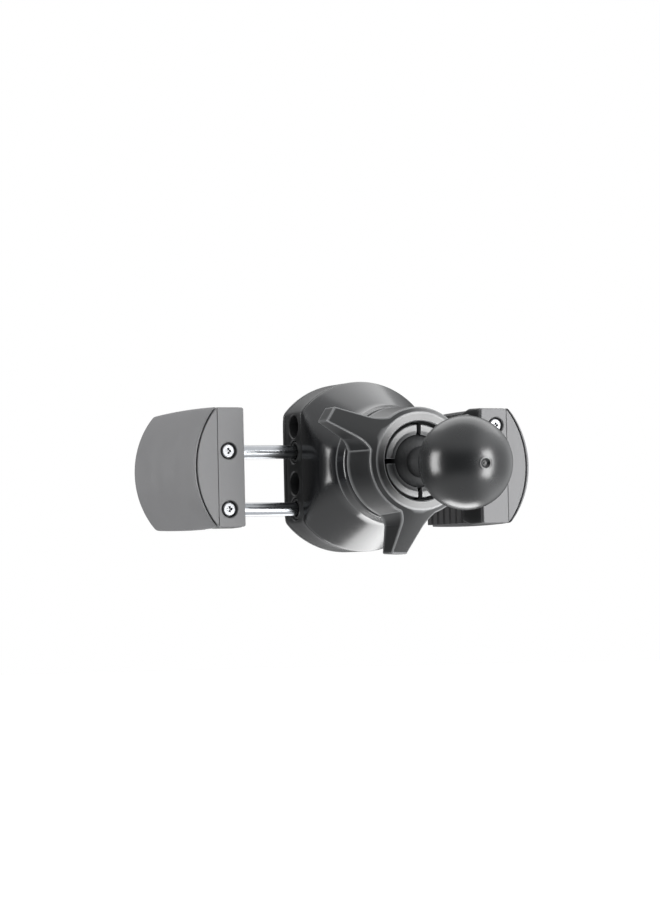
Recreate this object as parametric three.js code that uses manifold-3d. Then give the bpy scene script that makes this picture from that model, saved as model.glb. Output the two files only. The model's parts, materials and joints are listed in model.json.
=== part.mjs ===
// Spring-loaded phone cradle on a one-inch mounting ball.
// Millimetres. +X to the right and +Z up as seen from the ball, +Y from the ball towards the phone.
// The origin is the centre of the mounting ball.
import * as THREE from 'three';
import { mergeVertices } from 'three/addons/utils/BufferGeometryUtils.js';
import Module from 'manifold-3d';

const wasm = await Module();
wasm.setup();

// ---- Driving dimensions -------------------------------------------------------------------------

const GAP = 0.35; // clearance kept between pieces that touch

const BALL_RADIUS = 12.7; // one-inch mounting ball
const STUD_BALL_RADIUS = 8.5; // 17 mm ball in the socket
const STUD_BALL_Y = 36.5; // centre of the socket joint, along the cradle's axis
const CRADLE_OFFSET_X = 1.7; // the cradle rests a little aside and above the ball,
const CRADLE_OFFSET_Z = 1.8; // so the stud leans in its socket
const NECK_RADIUS = 4.4;

const NUT_FACE_Y = 30;
const NUT_SKIRT_Y = 45;
const NUT_RADIUS = 15.1;
const LOBE_TIP_RADIUS = 25.6;
const LOBE_ANGLES = [27.3, 147.3, 267.3]; // degrees from +X towards +Z

const COLLET_FACE_Y = 31;
const COLLET_THREAD_RADIUS = 11.6;
const SLOT_WIDTH = 1.4;

const BELL_FRONT_Y = 45.6;
const BELL_RIM_Y = 68.4;
const CRADLE_RADIUS = 24.5;
const FLAT_X = 18.8; // half width across the flats

const BLOCK_BACK_Y = 68.75;
const BLOCK_FRONT_Y = 79.55;
const COVER_FRONT_Y = 82.6;
const PHONE_FACE_Y = 84.4;

const ROD_Y = 74.2;
const ROD_RADIUS = 1.95;
const ROD_BORE_RADIUS = 3.3;
const ROD_HEIGHTS = [11.85, -4.55]; // on the right arm; the left arm is turned half a turn about Y
const ROD_INNER_X = -3.9;
const ROD_OUTER_X = 46.6;
const ROD_SCREW_X = 42.6;
const CLIP_X = ROD_INNER_X + 1.2;

const ARM_INNER_X = 37.8;
const ARM_CORNER_X = 46.8;
const ARM_APEX_X = 53.3;
const ARM_BACK_Y = 65.7;
const ARM_TIP_Y = 112.5;
const ARM_HALF_HEIGHT = 16.95;
const ARM_WALL = 2;
const ARM_BARREL = 0.025; // how much the arm swells in height at mid depth
const GRIP_X = 42.3; // face that presses on the phone's side

const HOUSING_SCREWS = [[8.2, 18.1], [-8.2, 18.1], [8.2, -18.1], [-8.2, -18.1]];

// ---- Helpers ------------------------------------------------------------------------------------

const degrees = (angle) => (angle * Math.PI) / 180;

// A closed three.js geometry as a solid, turned right side out.
function solid(geometry) {
  const bare = geometry.index ? geometry.toNonIndexed() : geometry.clone();
  bare.deleteAttribute('normal');
  bare.deleteAttribute('uv');
  const merged = mergeVertices(bare, 1e-4);
  const points = Float32Array.from(merged.attributes.position.array);
  const corners = withoutSlivers(Array.from(merged.index.array));
  if (volumeOf(points, corners) < 0) {
    corners.reverse();
  }
  const mesh = new wasm.Mesh({
    numProp: 3,
    vertProperties: points,
    triVerts: Uint32Array.from(corners),
  });
  return new wasm.Manifold(mesh);
}

function withoutSlivers(corners) {
  const kept = [];
  for (let i = 0; i < corners.length; i += 3) {
    const [a, b, c] = corners.slice(i, i + 3);
    if (a !== b && b !== c && c !== a) {
      kept.push(a, b, c);
    }
  }
  return kept;
}

function volumeOf(points, corners) {
  const [a, b, c] = [new THREE.Vector3(), new THREE.Vector3(), new THREE.Vector3()];
  let volume = 0;
  for (let i = 0; i < corners.length; i += 3) {
    a.fromArray(points, corners[i] * 3);
    b.fromArray(points, corners[i + 1] * 3);
    c.fromArray(points, corners[i + 2] * 3);
    volume += a.dot(b.cross(c)) / 6;
  }
  return volume;
}

function geometryOf(body) {
  const { vertProperties, triVerts } = body.getMesh();
  const geometry = new THREE.BufferGeometry();
  geometry.setAttribute('position', new THREE.BufferAttribute(new Float32Array(vertProperties), 3));
  geometry.setIndex(new THREE.BufferAttribute(new Uint32Array(triVerts), 1));
  geometry.computeVertexNormals();
  return geometry;
}

// A profile of [radius, y] points turned about the Y axis.
function turned(profile, segments = 40) {
  const points = profile.map(([radius, y]) => new THREE.Vector2(radius, y));
  return solid(new THREE.LatheGeometry(points, segments));
}

// A profile that stays off the axis, closed on itself.
const turnedRing = (profile, segments = 40) => turned([...profile, profile[0]], segments);

// Points of an arc in the [radius, y] plane; angles are measured from +Y.
function arc(centreY, radius, from, to, steps) {
  return Array.from({ length: steps + 1 }, (_, i) => {
    const angle = degrees(from + ((to - from) * i) / steps);
    return [radius * Math.sin(angle), centreY + radius * Math.cos(angle)];
  });
}

// An outline in the XZ plane, extruded from backY to frontY.
function extrudedY(shape, backY, frontY, steps = 1, curveSegments = 14) {
  const geometry = new THREE.ExtrudeGeometry(shape, {
    depth: frontY - backY,
    bevelEnabled: false,
    steps,
    curveSegments,
  });
  geometry.rotateX(Math.PI / 2);
  geometry.translate(0, frontY, 0);
  return solid(geometry);
}

function cylinderY(radius, fromY, toY, x = 0, z = 0, segments = 16) {
  const geometry = new THREE.CylinderGeometry(radius, radius, toY - fromY, segments);
  geometry.translate(x, (fromY + toY) / 2, z);
  return solid(geometry);
}

function cylinderX(radius, fromX, toX, y = 0, z = 0, segments = 20) {
  const geometry = new THREE.CylinderGeometry(radius, radius, toX - fromX, segments);
  geometry.rotateZ(Math.PI / 2);
  geometry.translate((fromX + toX) / 2, y, z);
  return solid(geometry);
}

function block([lowX, lowY, lowZ], [highX, highY, highZ]) {
  const geometry = new THREE.BoxGeometry(highX - lowX, highY - lowY, highZ - lowZ);
  geometry.translate((lowX + highX) / 2, (lowY + highY) / 2, (lowZ + highZ) / 2);
  return solid(geometry);
}

function outline(points) {
  return new THREE.Shape(points.map(([x, z]) => new THREE.Vector2(x, z)));
}

function finish(color, roughness, metalness) {
  return { color, roughness, metalness };
}

const BLACK_GLOSS = finish(0x1b1c1e, 0.28, 0);
const BLACK_SATIN = finish(0x26272a, 0.5, 0);
const BLACK_RUBBER = finish(0x2a2b2d, 0.7, 0);
const GREY_SATIN = finish(0x86888a, 0.42, 0.2);
const STEEL = finish(0xc9cbcc, 0.18, 1);
const NYLON = finish(0xd9d6cc, 0.45, 0);

function piece(name, body, look) {
  const mesh = new THREE.Mesh(geometryOf(body), new THREE.MeshStandardMaterial({ ...look }));
  mesh.name = name;
  return mesh;
}

// ---- Ball stud ----------------------------------------------------------------------------------

const SPIGOT_RADIUS = 3.5;
const SPIGOT_END_Y = -5;
const SHOULDER_RADIUS = 6.3;
const SHOULDER_Y = 11.3;

// Spigot, shoulder, neck and 17 mm socket ball, turned in one piece.
function ballStud() {
  const length = Math.hypot(CRADLE_OFFSET_X, STUD_BALL_Y, CRADLE_OFFSET_Z);
  const neckAngle = (Math.asin(NECK_RADIUS / STUD_BALL_RADIUS) * 180) / Math.PI;
  return turned([
    [0, SPIGOT_END_Y],
    [SPIGOT_RADIUS, SPIGOT_END_Y],
    [SPIGOT_RADIUS, SHOULDER_Y],
    [SHOULDER_RADIUS, SHOULDER_Y],
    [SHOULDER_RADIUS, SHOULDER_Y + 1.2],
    [5.2, 14.6],
    [NECK_RADIUS, 18],
    ...arc(length, STUD_BALL_RADIUS, 180 - neckAngle, 0, 12),
  ], 32);
}

// Moulded rubber ball with a small sprue dimple at its pole and a flat for the stud's shoulder.
function rubberBall() {
  const geometry = new THREE.SphereGeometry(BALL_RADIUS, 32, 18);
  const dimple = new THREE.SphereGeometry(1.5, 12, 8);
  dimple.translate(0, -BALL_RADIUS - 0.7, 0);
  return solid(geometry)
    .subtract(solid(dimple))
    .subtract(cylinderY(SPIGOT_RADIUS + GAP, SPIGOT_END_Y - GAP, BALL_RADIUS + 1, 0, 0, 20))
    .subtract(cylinderY(BALL_RADIUS, SHOULDER_Y - GAP, BALL_RADIUS + 2));
}

// ---- Socket -------------------------------------------------------------------------------------

// A zone of a thin spherical shell round the socket joint, open at its pole.
function seatShell(innerRadius, outerRadius, fromAngle, toAngle) {
  return turnedRing([
    ...arc(STUD_BALL_Y, innerRadius, fromAngle, toAngle, 4),
    ...arc(STUD_BALL_Y, outerRadius, toAngle, fromAngle, 4),
  ], 24);
}

const CUP_INNER = STUD_BALL_RADIUS + 0.3;
const CUP_OUTER = CUP_INNER + 1;
const PAD_INNER = CUP_OUTER + 0.3;
const PAD_OUTER = PAD_INNER + 1;
const COLLET_BORE = CUP_OUTER;
const FLANGE_Y = 48.25;
const FLANGE_REAR_Y = 50.2;

// Split collet: its lip closes over the stud ball, its cone is squeezed by the clamp nut.
function splitCollet() {
  const lipAngle = (Math.asin(7.25 / CUP_INNER) * 180) / Math.PI;
  let body = turnedRing([
    [8.55, COLLET_FACE_Y],
    [10.2, COLLET_FACE_Y],
    [10.2, 33],
    [11.1, 36.6],
    [COLLET_THREAD_RADIUS, 37.2],
    [COLLET_THREAD_RADIUS, FLANGE_Y],
    [13, FLANGE_Y],
    [13, FLANGE_REAR_Y],
    [COLLET_BORE, FLANGE_REAR_Y],
    [COLLET_BORE, 38.6],
    [CUP_INNER, 37.6],
    ...arc(STUD_BALL_Y, CUP_INNER, 90, 180 - lipAngle, 5),
  ]);
  for (const quarter of [0, 90]) {
    const slot = block([-14, COLLET_FACE_Y - 1, -SLOT_WIDTH / 2], [14, 41, SLOT_WIDTH / 2]);
    body = body.subtract(slot.rotate([0, quarter, 0]));
  }
  return body;
}

// Plug that backs the seat, hollowed to the joint's sphere.
function seatPlug() {
  const radius = COLLET_BORE - GAP;
  const hollow = PAD_OUTER + 0.3;
  const rimAngle = (Math.asin(radius / hollow) * 180) / Math.PI;
  return turned([
    ...arc(STUD_BALL_Y, hollow, 0, rimAngle, 5),
    [radius, FLANGE_REAR_Y],
    [3, FLANGE_REAR_Y],
    [3, FLANGE_REAR_Y - 1.2],
    [0, FLANGE_REAR_Y - 1.2],
  ], 24);
}

// One wing of the nut: straight sides, filleted into the barrel, cut by the sloping front cone.
function nutLobe() {
  const shape = new THREE.Shape();
  shape.moveTo(12.6, -7);
  shape.quadraticCurveTo(14.9, -3.9, 18.5, -3.3);
  shape.lineTo(LOBE_TIP_RADIUS - 0.5, -2.1);
  shape.lineTo(LOBE_TIP_RADIUS + 1, -1.6);
  shape.lineTo(LOBE_TIP_RADIUS + 1, 1.6);
  shape.lineTo(LOBE_TIP_RADIUS - 0.5, 2.1);
  shape.lineTo(18.5, 3.3);
  shape.quadraticCurveTo(14.9, 3.9, 12.6, 7);
  const envelope = turnedRing([
    [12.4, NUT_FACE_Y + 1.5],
    [NUT_RADIUS, NUT_FACE_Y + 1.5],
    [LOBE_TIP_RADIUS - 0.3, NUT_FACE_Y + 12.4],
    [LOBE_TIP_RADIUS, NUT_FACE_Y + 12.9],
    [LOBE_TIP_RADIUS, NUT_SKIRT_Y + 3.8],
    [NUT_RADIUS + 0.6, NUT_SKIRT_Y],
    [12.4, NUT_SKIRT_Y],
  ], 64);
  return extrudedY(shape, NUT_FACE_Y - 2, NUT_SKIRT_Y + 6, 1, 5).intersect(envelope);
}

// Clamp nut: barrel with a flat bright front, a squeezing cone inside and three wings.
function clampNut() {
  const threadRadius = COLLET_THREAD_RADIUS + GAP;
  let body = turnedRing([
    [11.4, NUT_FACE_Y],
    [13.9, NUT_FACE_Y],
    [NUT_RADIUS, NUT_FACE_Y + 1.5],
    [NUT_RADIUS + 0.7, NUT_SKIRT_Y],
    [threadRadius, NUT_SKIRT_Y],
    [threadRadius, 37.1],
    [11.5, 36.5],
    [10.65, 33.2],
    [11.1, 32.4],
    [11.1, NUT_FACE_Y + 0.3],
  ], 48);
  const lobe = nutLobe();
  for (const angle of LOBE_ANGLES) {
    body = body.add(lobe.rotate([0, -angle, 0]));
  }
  return body;
}

// ---- Cradle housing -----------------------------------------------------------------------------

// Round outline with a flat on each side, extruded along Y.
function flattedDisc(radius, flatX, backY, frontY) {
  return cylinderY(radius, backY, frontY, 0, 0, 64).intersect(
    block([-flatX, backY - 1, -radius - 1], [flatX, frontY + 1, radius + 1]),
  );
}

const BELL_WALL = 2.1;
const BOSS_RADIUS = 3.2;
const SCREW_HOLE_RADIUS = 1.65;

// Flared rear cover. Two flats cut its cone; screw bosses stand inside it.
function bellCover() {
  const outside = turned([
    [0, BELL_FRONT_Y],
    [15.3, BELL_FRONT_Y],
    [15.9, BELL_FRONT_Y + 0.6],
    [24.2, BELL_RIM_Y - 1],
    [CRADLE_RADIUS, BELL_RIM_Y - 0.3],
    [CRADLE_RADIUS - 0.3, BELL_RIM_Y],
    [0, BELL_RIM_Y],
  ], 64).intersect(block([-FLAT_X, 40, -30], [FLAT_X, 70, 30]));
  let hollow = turned([
    [0, BELL_FRONT_Y + BELL_WALL + 0.2],
    [13.4, BELL_FRONT_Y + BELL_WALL + 0.2],
    [22.2, BELL_RIM_Y + 1],
    [0, BELL_RIM_Y + 1],
  ], 40).intersect(block([-FLAT_X + BELL_WALL, 40, -30], [FLAT_X - BELL_WALL, 70, 30]));
  for (const [x, z] of HOUSING_SCREWS) {
    hollow = hollow.subtract(cylinderY(BOSS_RADIUS, 58, BELL_RIM_Y + 2, x, z));
  }
  let body = outside.subtract(hollow);
  body = body.subtract(cylinderY(COLLET_THREAD_RADIUS + GAP, 44, 50, 0, 0, 40));
  for (const [x, z] of HOUSING_SCREWS) {
    body = body.subtract(cylinderY(SCREW_HOLE_RADIUS, 63.5, BELL_RIM_Y + 1, x, z));
  }
  return body;
}

// Housing block: four through bores for the rods and springs, and a tube that backs the collet.
function housingBody() {
  let body = flattedDisc(CRADLE_RADIUS, FLAT_X, BLOCK_BACK_Y, BLOCK_FRONT_Y);
  body = body.add(cylinderY(12.4, FLANGE_REAR_Y + GAP, BLOCK_BACK_Y + 1, 0, 0, 32));
  body = body.subtract(cylinderY(8.8, FLANGE_REAR_Y - 1, BLOCK_BACK_Y - 1.5, 0, 0, 32));
  for (const height of ROD_HEIGHTS) {
    for (const z of [height, -height]) {
      body = body.subtract(cylinderX(ROD_BORE_RADIUS, -FLAT_X - 1, FLAT_X + 1, ROD_Y, z, 20));
    }
  }
  for (const [x, z] of HOUSING_SCREWS) {
    body = body.subtract(cylinderY(SCREW_HOLE_RADIUS, BLOCK_BACK_Y - 1, BLOCK_FRONT_Y + 1, x, z));
  }
  return body;
}

const SCREW_HEAD_RADIUS = 2.6;

function frontCover() {
  let body = flattedDisc(CRADLE_RADIUS, FLAT_X, BLOCK_FRONT_Y + GAP, COVER_FRONT_Y);
  const chamfer = turned([
    [0, BLOCK_FRONT_Y - 1],
    [CRADLE_RADIUS + 1, BLOCK_FRONT_Y - 1],
    [CRADLE_RADIUS + 1, COVER_FRONT_Y - 1.6],
    [CRADLE_RADIUS - 0.6, COVER_FRONT_Y],
    [0, COVER_FRONT_Y],
  ], 64);
  body = body.intersect(chamfer);
  for (const [x, z] of HOUSING_SCREWS) {
    body = body.subtract(cylinderY(SCREW_HOLE_RADIUS, BLOCK_FRONT_Y - 1, COVER_FRONT_Y + 1, x, z));
    body = body.subtract(
      cylinderY(SCREW_HEAD_RADIUS + GAP, COVER_FRONT_Y - 1.7, COVER_FRONT_Y + 1, x, z),
    );
  }
  return body;
}

// Rubber pad that the phone's back rests on.
function phonePad() {
  return flattedDisc(CRADLE_RADIUS - 1.2, FLAT_X - 1.2, COVER_FRONT_Y + 0.3, PHONE_FACE_Y);
}

// Long screw, head towards the phone, with a cross recess.
function housingScrew() {
  const headBack = COVER_FRONT_Y - 1.35;
  const headFront = COVER_FRONT_Y;
  return cylinderY(1.3, 64, headBack + 0.4)
    .add(cylinderY(SCREW_HEAD_RADIUS, headBack, headFront))
    .subtract(crossRecess(2.4, headFront - 0.9, headFront + 1));
}

function crossRecess(span, fromY, toY) {
  const bar = block([-span / 2, fromY, -0.35], [span / 2, toY, 0.35]);
  return bar.add(bar.rotate([0, 90, 0]));
}

// Plain sleeve pressed into the near end of a rod bore.
function rodBush() {
  return cylinderX(ROD_BORE_RADIUS - 0.3, FLAT_X - 4, FLAT_X).subtract(
    cylinderX(ROD_RADIUS + 0.3, FLAT_X - 5, FLAT_X + 1),
  );
}

// Helix along X between the bush and the clip.
class SpringPath extends THREE.Curve {
  getPoint(t) {
    const angle = t * SPRING_TURNS * 2 * Math.PI;
    const x = SPRING_FROM_X + (SPRING_TO_X - SPRING_FROM_X) * t;
    return new THREE.Vector3(x, SPRING_RADIUS * Math.cos(angle), SPRING_RADIUS * Math.sin(angle));
  }
}

const SPRING_TURNS = 7;
const SPRING_RADIUS = 2.62;
const SPRING_WIRE_RADIUS = 0.27;
const SPRING_FROM_X = CLIP_X + 1;
const SPRING_TO_X = FLAT_X - 4.8;

function returnSpring() {
  const section = outline(
    Array.from({ length: 6 }, (_, i) => [
      SPRING_WIRE_RADIUS * Math.cos((i * Math.PI) / 3),
      SPRING_WIRE_RADIUS * Math.sin((i * Math.PI) / 3),
    ]),
  );
  return solid(new THREE.ExtrudeGeometry(section, {
    steps: SPRING_TURNS * 9,
    bevelEnabled: false,
    extrudePath: new SpringPath(),
  }));
}

// ---- Arms (drawn for the right side) ------------------------------------------------------------

// The arm's D outline: straight inner edge, short flats above and below, and an arc outside.
// The apex, the ends of the arc and the flats move in by their own amounts. A negative top
// carries the flats outwards and leaves the arc where it was.
function armOutline(innerX, { apex = 0, ends = 0, top = 0 } = {}) {
  const height = ARM_HALF_HEIGHT - Math.max(top, 0);
  const rise = ARM_APEX_X - apex - (ARM_CORNER_X - ends);
  const radius = (height * height + rise * rise) / (2 * rise);
  const centreX = ARM_APEX_X - apex - radius;
  const half = Math.asin(height / radius);
  const cornerX = centreX + radius * Math.cos(half);
  const edge = ARM_HALF_HEIGHT - top;
  const shape = new THREE.Shape();
  shape.moveTo(innerX, -edge);
  shape.lineTo(cornerX, -edge);
  if (top < 0) {
    shape.lineTo(cornerX, -height);
  }
  shape.absarc(centreX, 0, radius, -half, half);
  if (top < 0) {
    shape.lineTo(cornerX, edge);
  }
  shape.lineTo(innerX, edge);
  return shape;
}

const PLATE_FRONT_Y = ARM_BACK_Y + 1.8;
const PLATE_INSET = 1.05;
const PLATE_END_INSET = 0.65;
const CORE_END_INSET = 1.6;
const CORE_END_Y = 79.6;
const CREASE_X = 46;

// Outer paddle: a D section swept the arm's depth. Its rear pockets for the plate and the core
// run out above and below; the one in front, open to the phone's side, takes the grip pad.
function armShell() {
  const platePocket = armOutline(ARM_INNER_X - 2, {
    apex: PLATE_INSET - GAP,
    ends: PLATE_END_INSET - GAP,
    top: -1.5,
  });
  const corePocket = armOutline(ARM_INNER_X - 2.5, {
    apex: ARM_WALL,
    ends: CORE_END_INSET - 0.4,
    top: -2.5,
  });
  const grip = armOutline(ARM_INNER_X, { apex: ARM_WALL, ends: CORE_END_INSET, top: ARM_WALL });
  const body = extrudedY(armOutline(ARM_INNER_X), ARM_BACK_Y, ARM_TIP_Y, 6)
    .subtract(extrudedY(platePocket, ARM_BACK_Y - 1, ARM_BACK_Y + 2.5))
    .subtract(extrudedY(corePocket, ARM_BACK_Y - 1, CORE_END_Y))
    .subtract(block([30, CORE_END_Y - 0.01, -25], [GRIP_X + 2.2, ARM_TIP_Y + 1, 25]))
    .subtract(extrudedY(grip, CORE_END_Y + 2, ARM_TIP_Y - 2));
  return swelled(body);
}

// Gentle barrel: heights grow towards mid depth and come back at the tip.
function swelled(body) {
  return body.warp((point) => {
    const along = (point[1] - ARM_BACK_Y) / (ARM_TIP_Y - ARM_BACK_Y);
    point[2] *= 1 + ARM_BARREL * 4 * along * (1 - along);
  });
}

// Flat D plate closing the back of the arm, with a fine groove and two screw recesses.
function facePlate() {
  const face = armOutline(ARM_INNER_X, { apex: PLATE_INSET, ends: PLATE_END_INSET, top: 0.1 });
  let body = extrudedY(face, ARM_BACK_Y, PLATE_FRONT_Y);
  body = body.subtract(
    block([CREASE_X - 0.2, ARM_BACK_Y - 1, -25], [CREASE_X + 0.2, ARM_BACK_Y + 0.25, 25]),
  );
  for (const z of ROD_HEIGHTS) {
    body = body.subtract(cylinderY(2.55, ARM_BACK_Y - 1, PLATE_FRONT_Y + 1, ROD_SCREW_X, z, 24));
  }
  return body;
}

// Core block: takes the rod ends and the screws; its far corners are chamfered.
function armCore() {
  const back = PLATE_FRONT_Y + 0.3;
  const front = CORE_END_Y - GAP;
  const section = armOutline(ARM_INNER_X, { apex: ARM_WALL + GAP, ends: CORE_END_INSET });
  let body = swelled(extrudedY(section, back, front, 2));
  const edge = ARM_HALF_HEIGHT * (1 + 0.8 * ARM_BARREL);
  for (const side of [1, -1]) {
    const wedge = new THREE.Shape([
      new THREE.Vector2(front - 5, side * (edge + 1)),
      new THREE.Vector2(front - 5, side * edge),
      new THREE.Vector2(front + 1, side * (edge - 1.4)),
      new THREE.Vector2(front + 1, side * (edge + 1)),
    ]);
    const cutter = new THREE.ExtrudeGeometry(wedge, { depth: 30, bevelEnabled: false });
    // The wedge is drawn in (Y, Z) and extruded along X.
    const turn = new THREE.Matrix4().set(0, 0, 1, 30, 1, 0, 0, 0, 0, 1, 0, 0, 0, 0, 0, 1);
    cutter.applyMatrix4(turn);
    body = body.subtract(solid(cutter));
  }
  for (const z of ROD_HEIGHTS) {
    body = body.subtract(cylinderX(ROD_RADIUS + GAP, ARM_INNER_X - 1, ROD_OUTER_X + GAP, ROD_Y, z));
    body = body.subtract(cylinderY(1.3, back - 1, ROD_Y + 3.6, ROD_SCREW_X, z));
  }
  return body;
}

// Rubber pad: a ribbed face along the phone's side, with a plug behind it in the shell's pocket.
function gripPad() {
  const back = CORE_END_Y + GAP;
  const front = ARM_TIP_Y - 0.4;
  const faceFront = GRIP_X + 2.2 - GAP;
  const height = ARM_HALF_HEIGHT - 0.5;
  let body = block([GRIP_X, back, -height], [faceFront, front, height]);
  const section = armOutline(ARM_INNER_X, {
    apex: ARM_WALL + GAP,
    ends: CORE_END_INSET + GAP,
    top: ARM_WALL + GAP,
  });
  const plug = extrudedY(section, CORE_END_Y + 2 + GAP, ARM_TIP_Y - 2 - GAP).intersect(block([GRIP_X + 0.5, back, -14], [GRIP_X + 5, front, 14]));
  body = body.add(plug);
  const pitch = 4;
  for (let i = 0; i < 7; i += 1) {
    const y = back + 3.5 + i * pitch;
    body = body.subtract(block([GRIP_X - 1, y, -height - 1], [GRIP_X + 0.6, y + 1.4, height + 1]));
  }
  return body;
}

// Steel guide rod with a clip groove at its inner end and a cross hole at its outer end.
function guideRod() {
  const groove = cylinderX(ROD_RADIUS + 1, CLIP_X - 0.6, CLIP_X + 0.6).subtract(
    cylinderX(1.4, CLIP_X - 1, CLIP_X + 1),
  );
  return cylinderX(ROD_RADIUS, ROD_INNER_X, ROD_OUTER_X)
    .subtract(groove)
    .subtract(cylinderY(1.25, -3, 3, ROD_SCREW_X, 0));
}

// Ring that seats in the rod's groove and carries the end of the spring.
function rodClip() {
  return cylinderX(2.95, -0.3, 0.3).subtract(cylinderX(1.7, -1, 1));
}

// Bright pan-head screw through the face plate, the core and the rod's end.
function rodScrew() {
  const headBack = ARM_BACK_Y + 0.25;
  const headFront = PLATE_FRONT_Y + 0.1;
  return cylinderY(2.05, headBack, headFront, 0, 0, 24)
    .add(cylinderY(0.92, headFront - 0.5, ROD_Y + 3.2))
    .subtract(crossRecess(1.9, headBack - 1, headBack + 0.7));
}

// ---- Assembly -----------------------------------------------------------------------------------

function addAt(group, mesh, x, y, z, turnY = 0) {
  mesh.position.set(x, y, z);
  mesh.rotation.y = turnY;
  group.add(mesh);
}

function arm(side) {
  const group = new THREE.Group();
  group.add(piece(`${side}_arm_shell`, armShell(), GREY_SATIN));
  group.add(piece(`${side}_face_plate`, facePlate(), GREY_SATIN));
  group.add(piece(`${side}_arm_core`, armCore(), BLACK_SATIN));
  group.add(piece(`${side}_grip_pad`, gripPad(), BLACK_RUBBER));
  ROD_HEIGHTS.forEach((z, i) => {
    addAt(group, piece(`${side}_guide_rod_${i + 1}`, guideRod(), STEEL), 0, ROD_Y, z);
    addAt(group, piece(`${side}_rod_clip_${i + 1}`, rodClip(), STEEL), CLIP_X, ROD_Y, z);
    addAt(group, piece(`${side}_rod_screw_${i + 1}`, rodScrew(), STEEL), ROD_SCREW_X, 0, z);
  });
  return group;
}

// Bushes and springs stay in the housing; the left set is the right set turned half a turn.
function rodGuides(side) {
  const group = new THREE.Group();
  ROD_HEIGHTS.forEach((z, i) => {
    addAt(group, piece(`${side}_rod_bush_${i + 1}`, rodBush(), BLACK_SATIN), 0, ROD_Y, z);
    addAt(group, piece(`${side}_return_spring_${i + 1}`, returnSpring(), STEEL), 0, ROD_Y, z);
  });
  return group;
}

function cradle() {
  const group = new THREE.Group();
  group.add(piece('split_collet', splitCollet(), BLACK_SATIN));
  group.add(piece('seat_plug', seatPlug(), BLACK_SATIN));
  group.add(piece('bell_cover', bellCover(), BLACK_GLOSS));
  group.add(piece('housing_body', housingBody(), BLACK_SATIN));
  group.add(piece('front_cover', frontCover(), BLACK_SATIN));
  group.add(piece('phone_pad', phonePad(), BLACK_RUBBER));
  HOUSING_SCREWS.forEach(([x, z], i) => {
    addAt(group, piece(`housing_screw_${i + 1}`, housingScrew(), STEEL), x, 0, z);
  });
  for (const [side, turnY] of [['right', 0], ['left', Math.PI]]) {
    const guides = rodGuides(side);
    const jaw = arm(side);
    guides.rotation.y = turnY;
    jaw.rotation.y = turnY;
    group.add(guides, jaw);
  }
  return group;
}

// The stud's own axis runs from the ball's centre to the socket joint.
function studAssembly() {
  const group = new THREE.Group();
  group.add(piece('ball_stud', ballStud(), BLACK_SATIN));
  group.add(piece('rubber_ball', rubberBall(), BLACK_RUBBER));
  const joint = new THREE.Vector3(CRADLE_OFFSET_X, STUD_BALL_Y, CRADLE_OFFSET_Z);
  group.quaternion.setFromUnitVectors(new THREE.Vector3(0, 1, 0), joint.normalize());
  return group;
}

const head = new THREE.Group();
head.position.set(CRADLE_OFFSET_X, 0, CRADLE_OFFSET_Z);
head.add(piece('ball_seat', seatShell(CUP_INNER, CUP_OUTER, 10, 55), NYLON));
head.add(piece('seat_pad', seatShell(PAD_INNER, PAD_OUTER, 12, 58), BLACK_RUBBER));
head.add(piece('clamp_nut', clampNut(), BLACK_SATIN));
head.add(cradle());

const mount = new THREE.Group();
mount.add(studAssembly(), head);

export default mount;
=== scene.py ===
"""Looks of a spring-jaw phone cradle on a one-inch mounting ball.

Shapes are worked out in millimetres in the cradle's own axes: x along the jaws, y from the
mounting ball towards the phone, z up, with the origin on the cradle's axis beside the ball.
`head_matrix` turns them to metres in the frame's axes. The left jaw is the right one turned
half a turn about y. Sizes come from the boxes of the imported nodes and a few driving
dimensions.
"""

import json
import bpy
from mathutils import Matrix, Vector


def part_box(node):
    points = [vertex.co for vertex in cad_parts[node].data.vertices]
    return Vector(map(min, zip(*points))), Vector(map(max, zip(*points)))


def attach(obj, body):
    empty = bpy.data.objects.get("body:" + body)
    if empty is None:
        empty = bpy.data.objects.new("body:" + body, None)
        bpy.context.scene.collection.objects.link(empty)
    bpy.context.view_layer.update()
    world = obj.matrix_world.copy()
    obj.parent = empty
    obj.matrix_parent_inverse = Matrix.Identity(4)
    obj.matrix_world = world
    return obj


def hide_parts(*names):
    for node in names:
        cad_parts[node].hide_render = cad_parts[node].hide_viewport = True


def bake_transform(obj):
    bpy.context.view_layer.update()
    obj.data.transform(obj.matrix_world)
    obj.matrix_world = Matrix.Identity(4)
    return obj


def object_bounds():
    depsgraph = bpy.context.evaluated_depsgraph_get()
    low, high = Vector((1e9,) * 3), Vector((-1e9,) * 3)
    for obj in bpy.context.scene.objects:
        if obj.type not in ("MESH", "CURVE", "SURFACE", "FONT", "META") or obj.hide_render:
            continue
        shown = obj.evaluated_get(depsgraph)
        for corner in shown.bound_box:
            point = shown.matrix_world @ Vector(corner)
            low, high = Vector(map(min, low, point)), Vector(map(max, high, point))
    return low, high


bl_info = {
    "name": "Spring-Jaw Phone Cradle",
    "version": (1, 0, 0),
    "blender": (4, 5, 0),
    "location": "View3D > Sidebar > Cradle",
    "description": "Builds the fine pieces, finishes and studio of a ball-mounted phone cradle",
    "category": "Object",
}

import bmesh
import bpy
import numpy as np
from bpy.props import FloatProperty, FloatVectorProperty, IntProperty, PointerProperty
from mathutils import Matrix, Vector

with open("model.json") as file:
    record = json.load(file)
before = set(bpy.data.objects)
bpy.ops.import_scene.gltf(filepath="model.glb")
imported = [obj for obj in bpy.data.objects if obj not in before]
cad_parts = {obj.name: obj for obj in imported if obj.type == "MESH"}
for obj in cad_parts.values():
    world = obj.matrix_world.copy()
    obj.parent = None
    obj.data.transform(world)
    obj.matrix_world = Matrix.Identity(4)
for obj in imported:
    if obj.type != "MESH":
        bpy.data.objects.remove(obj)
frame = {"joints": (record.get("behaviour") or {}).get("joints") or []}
CAD_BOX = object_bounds()

# ---- Driving dimensions, millimetres -------------------------------------------------------


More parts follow.
